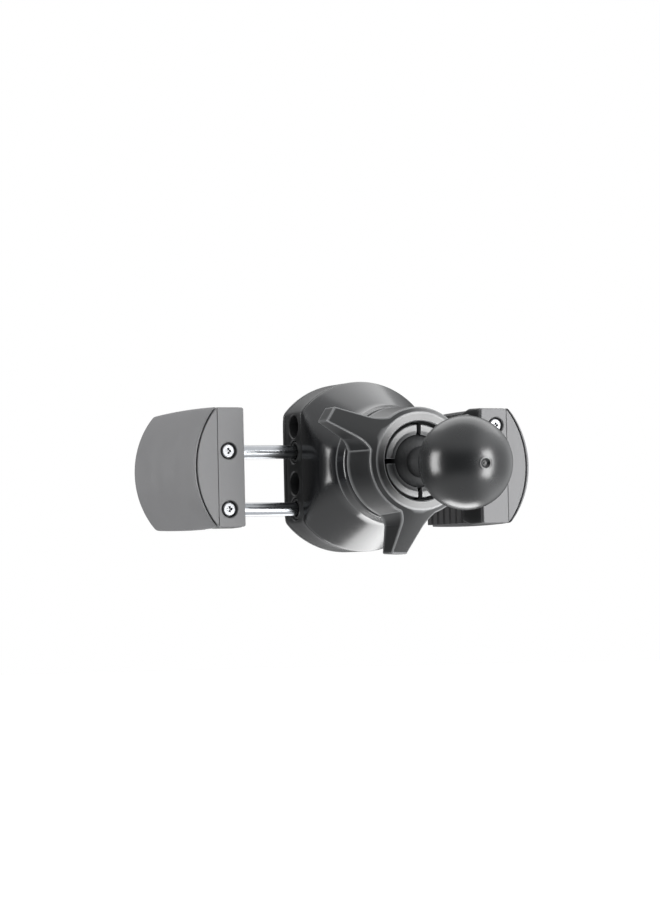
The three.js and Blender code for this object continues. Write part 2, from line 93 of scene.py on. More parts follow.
def box_mm(node):
    """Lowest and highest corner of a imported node, in millimetres, in the frame's axes."""
    low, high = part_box(node)
    return np.array(low) * 1000, np.array(high) * 1000


AXIS = sum(box_mm("bell_cover")) / 2 * (1, 0, 1)  # where the cradle's axis meets the ball's plane


def span(node):
    """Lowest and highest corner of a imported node, in the cradle's own axes."""
    low, high = box_mm(node)
    return low - AXIS, high - AXIS


GAP = 0.35  # clearance between pieces that touch

JOINT = next(j for j in frame["joints"] if j["name"] == "socket_turn")
SOCKET = np.array(JOINT["pos_m"]) * 1000  # centre of the socket joint
SOCKET_Y = SOCKET[1]

BALL_RADIUS = box_mm("rubber_ball")[1][0] - 0.02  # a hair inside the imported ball
STUD_BALL_RADIUS = 8.5
CUP_RADIUS = STUD_BALL_RADIUS + 0.3  # the socket's sphere
SEAT_BORE_RADIUS = STUD_BALL_RADIUS + 1.3
NECK_RADIUS = 4.4
SPIGOT_RADIUS = 3.5
SPIGOT_END_Y = -5
SHOULDER_RADIUS = 6.3
SHOULDER_Y = 11.3

NUT_FACE_Y = span("clamp_nut")[0][1]
NUT_SKIRT_Y = 45.0
NUT_BACK_Y = span("clamp_nut")[1][1]
NUT_RADIUS = 15.1
NUT_SKIRT_RADIUS = 15.7
NUT_BORE_RADIUS = 11.4
NUT_RING_ROWS = (13.0, 13.6, 13.75)  # radii of the last rows on the ring round the bore
NUT_RING_RADIUS = 13.7
NUT_RING_SLANT = 1.4  # width over which the face falls back outside the ring
NUT_RING_STEP = 1.5  # how far it falls back there
NUT_FRONT_RISE = 12.4  # from the face to the wings' tips
NUT_TIP_REACH = 25.3
NUT_WIDEN = 0.7  # how much the barrel grows in radius towards the rear
NUT_WIDEN_REACH = 18  # beyond this distance the outline belongs to the wings
LOBE_TIP = 25.6
LOBE_TIP_HALF = 2.35
LOBE_ANGLES = (27.3, 147.3, 267.3)  # degrees from x towards z

COLLET_FACE_Y = span("split_collet")[0][1]
COLLET_REAR_Y = span("split_collet")[1][1]
COLLET_THREAD = 11.6

BELL_FRONT_Y = span("bell_cover")[0][1]
BELL_RIM_Y = span("bell_cover")[1][1]
FLAT_X = span("bell_cover")[1][0]
CRADLE_RADIUS = span("bell_cover")[1][2]
BELL_WALL = 2.1
BELL_KNEE = (16.3, 52.3)  # radius and height where the neck opens into the flare
BELL_BAND = (24.15, 67.2)  # where the flare meets the upright band at the rim

BLOCK_BACK_Y = BELL_RIM_Y + GAP
BLOCK_FRONT_Y = span("housing_body")[1][1]
COVER_FRONT_Y = span("front_cover")[1][1]
PAD_BACK_Y = span("phone_pad")[0][1]
PHONE_FACE_Y = span("phone_pad")[1][1]
HOUSING_SCREWS = [(8.2, 18.1), (-8.2, 18.1), (8.2, -18.1), (-8.2, -18.1)]
SCREW_HOLE_RADIUS = 1.65
LONG_SCREW_END_Y = 64
BACKING_TUBE = (8.8, 12.4)  # inner and outer radius of the tube behind the collet
PAD_INSET = 1.2
PAD_RING_PITCH = 2.6
PAD_RING_DEPTH = 0.3

ROD_LOW, ROD_HIGH = span("right_guide_rod_1")
ROD_RADIUS = (ROD_HIGH[1] - ROD_LOW[1]) / 2
ROD_Y = (ROD_HIGH[1] + ROD_LOW[1]) / 2
ROD_HEIGHTS = [sum(span(f"right_guide_rod_{i}"))[2] / 2 for i in (1, 2)]
CLIP_X = sum(span("right_rod_clip_1"))[0] / 2
SCREW_X = sum(span("right_rod_screw_1"))[0] / 2
SCREW_BACK_Y = span("right_rod_screw_1")[0][1]
SCREW_END_Y = span("right_rod_screw_1")[1][1]
BORE_RADIUS = 3.3
BUSH_LENGTH = 4.0
SPRING_CLIP_END = CLIP_X + 1
SPRING_BUSH_END = FLAT_X - BUSH_LENGTH - 0.8
SPRING_MEAN_RADIUS = 2.62

ARM_INNER_X = span("right_face_plate")[0][0]
ARM_APEX_X = span("right_arm_shell")[1][0]
ARM_BACK_Y = span("right_arm_shell")[0][1]
ARM_TIP_Y = span("right_arm_shell")[1][1]
ARM_SWELL = 0.025  # how much the arm grows in height at mid depth
ARM_HALF_HEIGHT = (span("right_arm_shell")[1][2] - 0.02) / (1 + ARM_SWELL)  # at the arm's ends
ARM_CORNER_X = 46.8
ARM_WALL = 2.0
PLATE_INSET = 1.05
PLATE_END_INSET = 0.65
CORE_END_INSET = 1.6
PLATE_FRONT_Y = span("right_face_plate")[1][1]
CREASE_X = 46.0
CORE_END_Y = span("right_arm_core")[1][1] + GAP
CORE_TAPER = 0.075  # how much lower the core is at its front end
CORE_TAPER_LENGTH = 5
GRIP_X = span("right_grip_pad")[0][0]
GRIP_DEPTH = 2.2
GRIP_FIRST = 4.2  # from the pad's back to its first groove
GRIP_PITCH = 4.0
GRIP_GROOVES = 7

# ---- Surfaces ------------------------------------------------------------------------------


def rounded(points, radius, closed=True, steps=6):
    """A polyline with its corners softened. Each corner is cut back along both its sides by
    the radius, at most 45% of a side, and a circular arc bridges the cuts: a quadratic whose
    middle point weighs the cosine of half the corner's turn."""
    points = np.asarray(points, float)
    reach = np.array(np.broadcast_to(np.asarray(radius, float), len(points)))
    if not closed:
        reach[[0, -1]] = 0
    back = np.roll(points, 1, 0) - points
    ahead = np.roll(points, -1, 0) - points
    back_length = np.maximum(np.linalg.norm(back, axis=1), 1e-9)
    ahead_length = np.maximum(np.linalg.norm(ahead, axis=1), 1e-9)
    reach = np.minimum(reach, 0.45 * np.minimum(back_length, ahead_length) + (reach == 0))
    start = points + back * (reach / back_length)[:, None]
    end = points + ahead * (reach / ahead_length)[:, None]
    cosine = -(back * ahead).sum(1) / (back_length * ahead_length)
    weight = np.sqrt(np.clip((1 + cosine) / 2, 0.01, 1))[:, None, None]
    t = np.linspace(0, 1, steps)[None, :, None]
    shares = (1 - t) ** 2, 2 * t * (1 - t) * weight, t**2
    curve = shares[0] * start[:, None] + shares[1] * points[:, None] + shares[2] * end[:, None]
    curve = (curve / sum(shares)).reshape(-1, 2)
    moved = np.linalg.norm(curve - np.roll(curve, 1, 0), axis=1) > 1e-6
    moved[0] = True if not closed else moved[0]
    return curve[moved]


def arc(centre, radius, first, last, count):
    """Points of a circle: centre plus radius times cosine and sine, degrees from the first axis."""
    angle = np.radians(np.linspace(first, last, count))
    return np.stack([centre[0] + radius * np.cos(angle), centre[1] + radius * np.sin(angle)], 1)


def surface(points, ring=False, ends=True):
    """Vertices and faces over a grid of rows whose columns wrap round. A ring also joins its
    last row to its first; otherwise each end is closed by one polygon, or, where the end row
    has drawn together to a point, by the triangles that merging its doubles leaves."""
    rows, columns = points.shape[:2]
    index = np.arange(rows * columns).reshape(rows, columns)
    below = index if ring else index[:-1]
    above = np.roll(index, -1, 0) if ring else index[1:]
    quads = np.stack([below, np.roll(below, -1, 1), np.roll(above, -1, 1), above], -1)
    faces = quads.reshape(-1, 4).tolist()
    if ends and not ring:
        faces += [index[0][::-1].tolist(), index[-1].tolist()]
    return points.reshape(-1, 3), faces


def turned(profile, segments=96, along="y", ring=False, centre=(0, 0)):
    """A profile of (radius, height) turned round a line parallel to y or x: the other two
    coordinates are radius times cosine and sine of the turn, plus the centre."""
    profile = np.asarray(profile, float)
    turn = np.linspace(0, 2 * np.pi, segments, endpoint=False)
    across = centre[0] + profile[:, :1] * np.cos(turn)
    upward = centre[1] + profile[:, :1] * np.sin(turn)
    height = np.broadcast_to(profile[:, 1:], across.shape)
    order = (across, height, upward) if along == "y" else (height, across, upward)
    return surface(np.stack(order, -1), ring)


def miters(outline):
    """Directions that carry an outline inwards by one unit: the sum of the two edge normals
    at a corner over one plus their product. The sign of the enclosed area tells inwards."""
    following = np.roll(outline, -1, 0)
    area = (outline[:, 0] * following[:, 1] - following[:, 0] * outline[:, 1]).sum()
    ahead = following - outline
    ahead /= np.linalg.norm(ahead, axis=1)[:, None]
    normal = np.stack([-ahead[:, 1], ahead[:, 0]], 1) * np.sign(area)
    before = np.roll(normal, 1, 0)
    return (normal + before) / (1 + (normal * before).sum(1))[:, None]


def edge_levels(back, front, back_round, front_round, between=0):
    """Heights and insets that carry an outline from back to front with rounded edges: the
    inset falls as radius times one minus sine while the height grows by radius times one
    minus cosine. A last ring just inside each end keeps the flat face flat in shading."""
    turn = np.linspace(0, np.pi / 2, 5)
    rear = np.stack([back + back_round * (1 - np.cos(turn)), back_round * (1 - np.sin(turn))], 1)
    fore = np.stack([front - front_round * (1 - np.cos(turn)), front_round * (1 - np.sin(turn))], 1)
    middle = np.linspace(back + back_round, front - front_round, between + 2)[1:-1]
    middle = np.stack([middle, np.zeros(between)], 1)
    hold = 0.06
    first = [[back, back_round + hold]]
    last = [[front, front_round + hold]]
    return np.concatenate([first, rear, middle, fore[::-1], last])


def carried(outline, levels, along="y", swell=None):
    """An outline carried along y (or z) through (height, inset) levels. An optional function
    of the height scales the outline's second coordinate."""
    levels = np.asarray(levels, float)
    flat = outline[None] + miters(outline)[None] * levels[:, 1, None, None]
    height = np.broadcast_to(levels[:, :1], flat.shape[:2])
    first, second = flat[..., 0], flat[..., 1]
    if swell is not None:
        second = second * swell(height)
    order = (first, height, second) if along == "y" else (first, second, height)
    return surface(np.stack(order, -1))


def box_shell(low, high, along="y"):
    """A cutting block between two corners, carried along one axis."""
    axes = (0, 2, 1) if along == "y" else (0, 1, 2)
    low, high = (np.array(corner, float)[list(axes)] for corner in (low, high))
    outline = np.array([[low[0], low[1]], [high[0], low[1]], [high[0], high[1]], [low[0], high[1]]])
    return carried(outline, [[low[2], 0], [high[2], 0]], along)


def joined(*shells):
    """Several shells as one list of vertices and faces."""
    vertices, faces, offset = [], [], 0
    for shell_vertices, shell_faces in shells:
        vertices.append(shell_vertices)
        faces += [[corner + offset for corner in face] for face in shell_faces]
        offset += len(shell_vertices)
    return np.concatenate(vertices), faces


def flatted_disc(corner=0.8):
    """Round outline of the housing with a flat on each side: two arcs whose ends meet the
    flats, their corners softened. Counter-clockwise in x and z."""
    half = np.degrees(np.arccos(FLAT_X / CRADLE_RADIUS))
    upper = clear_ends(arc((0, 0), CRADLE_RADIUS, half, 180 - half, 72))
    outline = np.concatenate([upper, -upper])
    reach = np.zeros(len(outline))
    reach[[0, len(upper) - 1, len(upper), -1]] = corner
    return refined(rounded(outline, reach), 1.2)


def clear_ends(line, gap=4):
    """A curve without the points next to its ends, so that its end corners have room to be
    rounded."""
    return np.concatenate([line[:1], line[gap:-gap], line[-1:]])


def divided(line, spacing):
    """An open polyline with extra points, so that no side is longer than the spacing."""
    ahead = np.diff(line, axis=0)
    parts = np.maximum(np.ceil(np.linalg.norm(ahead, axis=1) / spacing), 1).astype(int)
    start = np.repeat(np.arange(len(ahead)), parts)
    step = (np.arange(len(start)) - np.repeat(np.cumsum(parts) - parts, parts)) / parts[start]
    return np.concatenate([line[start] + ahead[start] * step[:, None], line[-1:]])


def refined(outline, spacing):
    """The same for a closed outline."""
    return divided(np.concatenate([outline, outline[:1]]), spacing)[:-1]


def soft_limit(value, limit, softness):
    """Value held within plus and minus the limit; the corner is a hyperbola: half of value
    plus limit, less half of the root of their difference squared plus softness squared."""
    size = np.abs(value)
    held = (size + limit - np.sqrt((size - limit) ** 2 + softness**2)) / 2
    return np.sign(value) * np.minimum(held, limit)


def hump(away, height, width, power=2):
    """A bell curve: the height times e to the minus of distance over width, to a power."""
    return height * np.exp(-((away / width) ** power))


# ---- From shells to pieces -----------------------------------------------------------------

EDGE_BEND = 0.007  # the mean bend at which an edge counts as fully sharp
CREASE_DEGREES = 38  # edges sharper than this stay crisp in shading


def linked(name, data):
    """A new object with its data, in the scene."""
    made = bpy.data.objects.new(name, data)
    bpy.context.collection.objects.link(made)
    return made


def mesh_of(name, shell):
    """A mesh of the shell, its doubles merged and its faces turned outwards by the sign of
    the volume they enclose."""
    vertices, faces = shell
    mesh = bpy.data.meshes.new(name)
    mesh.from_pydata(np.asarray(vertices).tolist(), [], faces)
    shape = bmesh.new()
    shape.from_mesh(mesh)
    bmesh.ops.remove_doubles(shape, verts=shape.verts, dist=1e-5)
    if shape.calc_volume(signed=True) < 0:
        bmesh.ops.reverse_faces(shape, faces=shape.faces)
    shape.to_mesh(mesh)
    shape.free()
    mesh.update()
    return mesh


def carved(name, shell, cutters=(), additions=()):
    """The shell with other shells added to it and cut from it, as a mesh in millimetres."""
    body = linked(name, mesh_of(name, shell))
    tools = [("UNION", s) for s in additions] + [("DIFFERENCE", s) for s in cutters]
    helpers = []
    for operation, tool_shell in tools:
        tool = linked("tool", mesh_of("tool", tool_shell))
        tool.hide_render = True
        helpers.append(tool)
        step = body.modifiers.new("carve", "BOOLEAN")
        step.operation = operation
        step.solver = "EXACT"
        step.object = tool
    bpy.context.view_layer.update()
    graph = bpy.context.evaluated_depsgraph_get()
    mesh = bpy.data.meshes.new_from_object(body.evaluated_get(graph))
    for spent in [body, *helpers]:
        bpy.data.objects.remove(spent)
    shape = bmesh.new()
    shape.from_mesh(mesh)
    bmesh.ops.remove_doubles(shape, verts=shape.verts, dist=1e-4)
    shape.to_mesh(mesh)
    shape.free()
    return mesh


def mark_edges(mesh):
    """Stores on each vertex, as the attribute "edge", how sharply the surface bends there:
    the mean over its faces of one minus the cosine between its normal and theirs, over the
    value that a small rounded edge has, held at one."""
    vertex = np.empty(len(mesh.loops), int)
    normals = np.empty((len(mesh.vertices), 3))
    facing = np.empty((len(mesh.polygons), 3))
    corners = np.empty(len(mesh.polygons), int)
    mesh.loops.foreach_get("vertex_index", vertex)
    mesh.vertices.foreach_get("normal", normals.ravel())
    mesh.polygons.foreach_get("normal", facing.ravel())
    mesh.polygons.foreach_get("loop_total", corners)
    bend = 1 - (normals[vertex] * np.repeat(facing, corners, 0)).sum(1)
    mean = np.bincount(vertex, bend) / np.maximum(np.bincount(vertex), 1)
    # The finishes use this value to mix a painted highlight onto sharp edges.
    layer = mesh.attributes.new("edge", "FLOAT", "POINT")
    layer.data.foreach_set("value", np.clip(mean / EDGE_BEND, 0, 1))


def head_matrix(side="right"):
    """Millimetres in the cradle's own axes to metres in the frame, the left side by half a
    turn about y."""
    turn = Matrix.Rotation(np.pi if side == "left" else 0, 4, "Y")
    return Matrix.Scale(0.001, 4) @ Matrix.Translation(Vector(AXIS)) @ turn


def stud_matrix():
    """Millimetres along the stud's own axis to metres in the frame: +y turns to point from
    the mounting ball's centre to the socket's."""
    lean = Vector((0, 1, 0)).rotation_difference(Vector(SOCKET))
    return Matrix.Scale(0.001, 4) @ lean.to_matrix().to_4x4()


def piece(name, mesh, body, slot, matrix=None, material=None):
    """Puts a finished mesh into the scene on its body, standing for the node of its name, in
    its slot's finish unless another is given."""
    mesh = mesh if isinstance(mesh, bpy.types.Mesh) else mesh_of(name, mesh)
    mark_edges(mesh)
    mesh.transform(matrix or head_matrix())
    mesh.name = name
    mesh.shade_smooth()
    mesh.set_sharp_from_angle(angle=np.radians(CREASE_DEGREES))
    mesh.materials.clear()
    mesh.materials.append(coat(material or slot))
    made = linked(name, mesh)
    if body is not None:
        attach(made, body)
    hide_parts(name.removesuffix("_fine"))
    return made


# ---- Finishes ------------------------------------------------------------------------------

DEEP_TONE = 0.92  # the darker tone's share of a finish's tint
EDGE_HIGHLIGHT_TONE = "#858687"  # pale grey painted on sharp edges as a highlight
RING_SCALE = 1000 / 0.9 / 20  # the wave texture draws 20 rings a unit, here 0.9 mm apart
RING_DEPTH = 4e-6  # metres


def linear(code):
    """An sRGB hex colour as linear values, by the standard curve."""
    channels = np.array([int(code[i : i + 2], 16) for i in (1, 3, 5)]) / 255
    low, high = channels / 12.92, ((channels + 0.055) / 1.055) ** 2.4
    return (*np.where(channels <= 0.04045, low, high).tolist(), 1.0)


def per_metre(size_mm):
    """Noise scale whose features are about that many millimetres across."""
    return 1000 / size_mm


def add(tree, kind, values=None, links=None, **settings):
    """Adds a node: settings go on the node, values on its inputs, links come from outputs."""
    made = tree.nodes.new(kind)
    for name, value in settings.items():
        setattr(made, name, value)
    for key, value in (values or {}).items():
        made.inputs[key].default_value = value
    for key, source in (links or {}).items():
        tree.links.new(source, made.inputs[key])
    return made


def blank(name):
    """An empty node material, with its tree."""
    made = bpy.data.materials.new(name)
    made.use_nodes = True
    made.node_tree.nodes.clear()
    return made, made.node_tree


def finish(
    name, tint, drift_mm, rough, grain_mm, grain_depth_mm, metallic=0.0, stretch=(1, 1, 1),
    rings=False, edge_highlight=0.0,
):
    """A moulded, coated or drawn surface. The colour drifts between the tint and a deeper
    tone of it, the roughness drifts with it, and a grain of the given size and depth, that
    may be stretched along an axis, gives the bump. Rings round y can be added for moulds
    that were turned, and sharp edges can get a painted highlight: a pale grey mixed into
    the colour by the share given."""
    made, tree = blank(name)
    place = add(tree, "ShaderNodeTexCoord")
    centred = add(
        tree, "ShaderNodeMapping", {"Location": tuple(-AXIS / 1000)},
        {"Vector": place.outputs["Object"]},
    )
    drawn = add(
        tree, "ShaderNodeMapping", {"Scale": stretch}, {"Vector": centred.outputs["Vector"]},
    )
    drift = add(
        tree, "ShaderNodeTexNoise",
        {"Scale": per_metre(drift_mm), "Detail": 3.0, "Roughness": 0.55},
        {"Vector": drawn.outputs["Vector"]},
    )
    grain = add(
        tree, "ShaderNodeTexNoise",
        {"Scale": per_metre(grain_mm), "Detail": 2.0, "Roughness": 0.6},
        {"Vector": drawn.outputs["Vector"]},
    )
    tone = add(tree, "ShaderNodeValToRGB", links={"Fac": drift.outputs["Fac"]})
    deep, pale = tone.color_ramp.elements
    deep.position, pale.position = 0.32, 0.68
    deep.color = (*(channel * DEEP_TONE for channel in tint[:3]), 1.0)
    pale.color = tint
    bend = add(tree, "ShaderNodeAttribute", attribute_name="edge")
    # Painted highlight: the edge attribute times the given share mixes the pale grey into the
    # colour on sharp edges.
    painted_highlight = add(
        tree, "ShaderNodeMath", {1: edge_highlight}, {0: bend.outputs["Fac"]}, operation="MULTIPLY",
    )
    paint = add(
        tree, "ShaderNodeMix", {7: linear(EDGE_HIGHLIGHT_TONE)},
        {0: painted_highlight.outputs["Value"], 6: tone.outputs["Color"]}, data_type="RGBA",
    )
    sheen = add(
        tree, "ShaderNodeMapRange",
        {"From Min": 0.3, "From Max": 0.7, "To Min": rough * 0.95, "To Max": rough * 1.06},
        {"Value": drift.outputs["Fac"]},
    )
    bump = add(
        tree, "ShaderNodeBump", {"Strength": 1.0, "Distance": grain_depth_mm / 1000},
        {"Height": grain.outputs["Fac"]},
    )
    if rings:
        turned_lines = add(
            tree, "ShaderNodeTexWave",
            {"Scale": RING_SCALE, "Distortion": 0.4, "Detail": 1.0},
            {"Vector": centred.outputs["Vector"]},
            wave_type="RINGS", rings_direction="Y",
        )
        bump = add(
            tree, "ShaderNodeBump", {"Strength": 1.0, "Distance": RING_DEPTH},
            {"Height": turned_lines.outputs["Fac"], "Normal": bump.outputs["Normal"]},
        )
    surface_shader = add(
        tree, "ShaderNodeBsdfPrincipled", {"Metallic": metallic},
        {
            "Base Color": paint.outputs[2],
            "Roughness": sheen.outputs["Result"],
            "Normal": bump.outputs["Normal"],
        },
    )
    add(tree, "ShaderNodeOutputMaterial", links={"Surface": surface_shader.outputs["BSDF"]})
    return made


FINISHES = {
    # Grey textured coat over a zinc casting: even satin sheen, a fine orange peel.
    "arm_grey": dict(
        name="Satin grey powder coat", drift_mm=9, rough=0.6, grain_mm=0.55,
        grain_depth_mm=0.012,
    ),
    # Glass-filled nylon from a sparked mould: satin black that greys where light rakes it, with a
    # faint painted highlight on its edges.
    "black_plastic": dict(
        name="Moulded black nylon", drift_mm=6, rough=0.42, grain_mm=0.4,
        grain_depth_mm=0.02, edge_highlight=0.12,
    ),
    # Polished-mould ABS: deep gloss, with the faint rings of the turned mould in its streaks, and a
    # painted highlight on its edges.
    "gloss_black": dict(
        name="Gloss black ABS", drift_mm=14, rough=0.17, grain_mm=1.6,
        grain_depth_mm=0.006, rings=True, edge_highlight=0.4,
    ),
    # Black nylon of the clamp nut: a little shinier than the housing's, with a painted highlight on
    # its edges.
    "nut_black": dict(
        name="Black nylon, hand-polished", drift_mm=7, rough=0.3, grain_mm=0.5,
        grain_depth_mm=0.012, edge_highlight=0.5,
    ),
    # Black e-coat over a rough casting: sandy grain, soft sheen.
    "stud_black": dict(
        name="Black e-coat on cast aluminium", drift_mm=3, rough=0.5, grain_mm=0.6,
        grain_depth_mm=0.09,
    ),
    # Smooth moulded rubber: dark, satin, broad soft highlights.
    "ball_rubber": dict(
        name="Satin moulded rubber", drift_mm=5, rough=0.26, grain_mm=0.7,
        grain_depth_mm=0.008,
    ),
    # Soft rubber: matt, with a dry bloom.
    "soft_rubber": dict(
        name="Matt black rubber", drift_mm=4, rough=0.68, grain_mm=0.45, grain_depth_mm=0.03,
    ),
    # Uncoloured nylon: milky and waxy.
    "seat_nylon": dict(
        name="Natural nylon", drift_mm=5, rough=0.42, grain_mm=0.5, grain_depth_mm=0.01,
    ),
    # Ground and polished round bar: sharp stripes, fine lines along its length.
    "polished_steel": dict(
        name="Polished steel bar", drift_mm=2, rough=0.27, grain_mm=0.35,
        grain_depth_mm=0.004, metallic=1.0, stretch=(0.06, 1, 1),
    ),
    # Bright zinc on steel: slightly frosted shine.
    "screw_steel": dict(
        name="Bright zinc-plated steel", drift_mm=1.5, rough=0.42, grain_mm=0.4,
        grain_depth_mm=0.006, metallic=1.0,
    ),
    # Drawn spring wire: paler and brighter than the bar, with a fine grain.
    "spring_steel": dict(
        name="Drawn spring wire", drift_mm=2, rough=0.3, grain_mm=0.3, grain_depth_mm=0.004,
        metallic=1.0,
    ),
}
COATS = {}  # the finishes made so far


def coat(slot):
    """The finish of a material slot in the colour chosen for it, made once."""
    if slot not in COATS:
        tint = tuple(getattr(bpy.context.scene.cradle_colours, slot))
        COATS[slot] = finish(tint=tint, **FINISHES[slot])
    return COATS[slot]


# ---- Shapes of the pieces ------------------------------------------------------------------


def ball_surface(depth):
    """Sphere from a dimpled pole to the flat under the stud's shoulder, with the spigot's
    blind hole down its middle. The dimple takes a bell curve of the distance from the pole
    off the radius; a small gate mark in its middle and a faint rim round it add one each. A
    flash nub at the top moves points out by a share that is a bell curve round its place."""
    flat_y = SHOULDER_Y - GAP
    last = np.degrees(np.arccos(flat_y / BALL_RADIUS))
    turn = np.concatenate([np.linspace(0, 14, 44), np.linspace(15, 180 - last, 90)])
    angle = np.radians(180 - turn)
    reach = BALL_RADIUS * np.sin(angle)
    near = angle > 2
    dimple = hump(reach, depth, 1.05, 4) * near
    gate = hump(reach, 0.22, 0.42, 4) * near
    rim = hump(reach - 1.45, 0.05, 0.3) * near
    radius = BALL_RADIUS - dimple + gate + rim
    skin = np.stack([radius * np.sin(angle), radius * np.cos(angle)], 1)
    skin[0, 0] = 0
    bore = SPIGOT_RADIUS + GAP
    floor_y = SPIGOT_END_Y - GAP
    inside = rounded([skin[-1], [bore, flat_y], [bore, floor_y], [0, floor_y]], 0.3, False)
    vertices, faces = turned(np.concatenate([skin, inside[1:]]), 180)
    away = np.linalg.norm(vertices - (0.4, 0.0, BALL_RADIUS), axis=1)
    return vertices * (1 + hump(away, 0.022, 0.55))[:, None], faces


def stud_surface():
    """Turned outline: spigot, filleted shoulder, waisted neck and 17 mm ball."""
    length = np.linalg.norm(SOCKET)
    neck = np.degrees(np.arcsin(NECK_RADIUS / STUD_BALL_RADIUS))
    shank = rounded(
        [
            [0, SPIGOT_END_Y], [SPIGOT_RADIUS, SPIGOT_END_Y], [SPIGOT_RADIUS, SHOULDER_Y],
            [SHOULDER_RADIUS, SHOULDER_Y], [SHOULDER_RADIUS, SHOULDER_Y + 1.2],
            [5.2, 14.6], [NECK_RADIUS, 18], [NECK_RADIUS, 27],
        ],
        [0, 0.5, 0.3, 0.4, 0.6, 1.4, 1.6, 0], False,
    )
    ball = arc((0, 0), STUD_BALL_RADIUS, 180 - neck, 0, 40)[:, ::-1] + (0, length)
    ball[-1, 0] = 0
    waist = (shank[-1] + ball[0]) / 2 - (0.0, 0.2)
    return turned(np.concatenate([shank, [waist], ball]))


def zone_surface(inner, outer, first, last):
    """Zone of a thin spherical shell round the socket's centre, its four edges softened."""
    centre, count = (SOCKET_Y, 0), 24
    inside = arc(centre, inner, first, last, count)[:, ::-1]
    outside = arc(centre, outer, last, first, count)[:, ::-1]
    reach = np.zeros(2 * count)
    reach[[0, count - 1, count, -1]] = 0.2
    return turned(rounded(np.concatenate([inside, outside]), reach), ring=True)


def collet_shell():
    """Turned ring: lip closing over the stud ball, squeezing cone, threaded barrel, flange."""
    lip_radius, bore = 7.25, SEAT_BORE_RADIUS
    lip = 180 - np.degrees(np.arcsin(lip_radius / CUP_RADIUS))
    cone = [
        [COLLET_THREAD, 37.2], [11.1, 36.6], [10.2, 33], [10.2, COLLET_FACE_Y],
        [8.55, COLLET_FACE_Y],
    ]
    seat = arc((SOCKET_Y, 0), CUP_RADIUS, lip, 90, 16)[:, ::-1]
    rear = [
        [CUP_RADIUS, 37.6], [bore, 38.6], [bore, COLLET_REAR_Y], [13, COLLET_REAR_Y],
        [13, COLLET_REAR_Y - 1.95], [COLLET_THREAD, COLLET_REAR_Y - 1.95],
    ]
    heights = np.arange(40.0, 47.5, 0.75)
    thread = np.stack([COLLET_THREAD - 0.28 * (np.arange(len(heights)) % 2), heights[::-1]], 1)
    profile = np.concatenate([cone, seat, rear, thread])
    reach = np.zeros(len(profile))
    reach[[3, 4, 5]] = (0.35, 0.3, 0.25)
    reach[len(cone) + len(seat) + np.array([2, 3, 4])] = 0.3
    return turned(rounded(profile, reach), 120, ring=True)


def lobed_outline():
    """Plan of the nut, clockwise: a circle with three wings. Half a wing is a quadratic
    fillet from the circle, a straight side that narrows outwards, and a rounded end; it is
    mirrored and turned three times."""
    t = np.linspace(0, 1, 60)[:, None]
    root, bend, side = np.array([[12.6, 7.0], [14.9, 3.9], [18.5, 3.3]])
    fillet = (1 - t) ** 2 * root + 2 * t * (1 - t) * bend + t**2 * side
    fillet = fillet[np.linalg.norm(fillet, axis=1) > NUT_RADIUS + 0.05]
    junction = np.degrees(np.arctan2(fillet[0, 1], fillet[0, 0]))
    circle = arc((0, 0), NUT_RADIUS, 60, junction + 1.2, 40)[1:]
    end = [side, [LOBE_TIP, LOBE_TIP_HALF], [LOBE_TIP, -LOBE_TIP_HALF]]
    tip = rounded(end, [0, 0.5, 0], False, 9)
    tip = tip[tip[:, 1] > 0.2]
    half = np.concatenate([circle, fillet, tip[1:]])
    lobe = np.concatenate([half, half[::-1] * (1, -1)])
    turns = [np.radians(angle) for angle in LOBE_ANGLES[::-1]]
    whole = [lobe @ np.array([[np.cos(a), np.sin(a)], [-np.sin(a), np.cos(a)]]) for a in turns]
    return refined(np.concatenate(whole), 0.7)


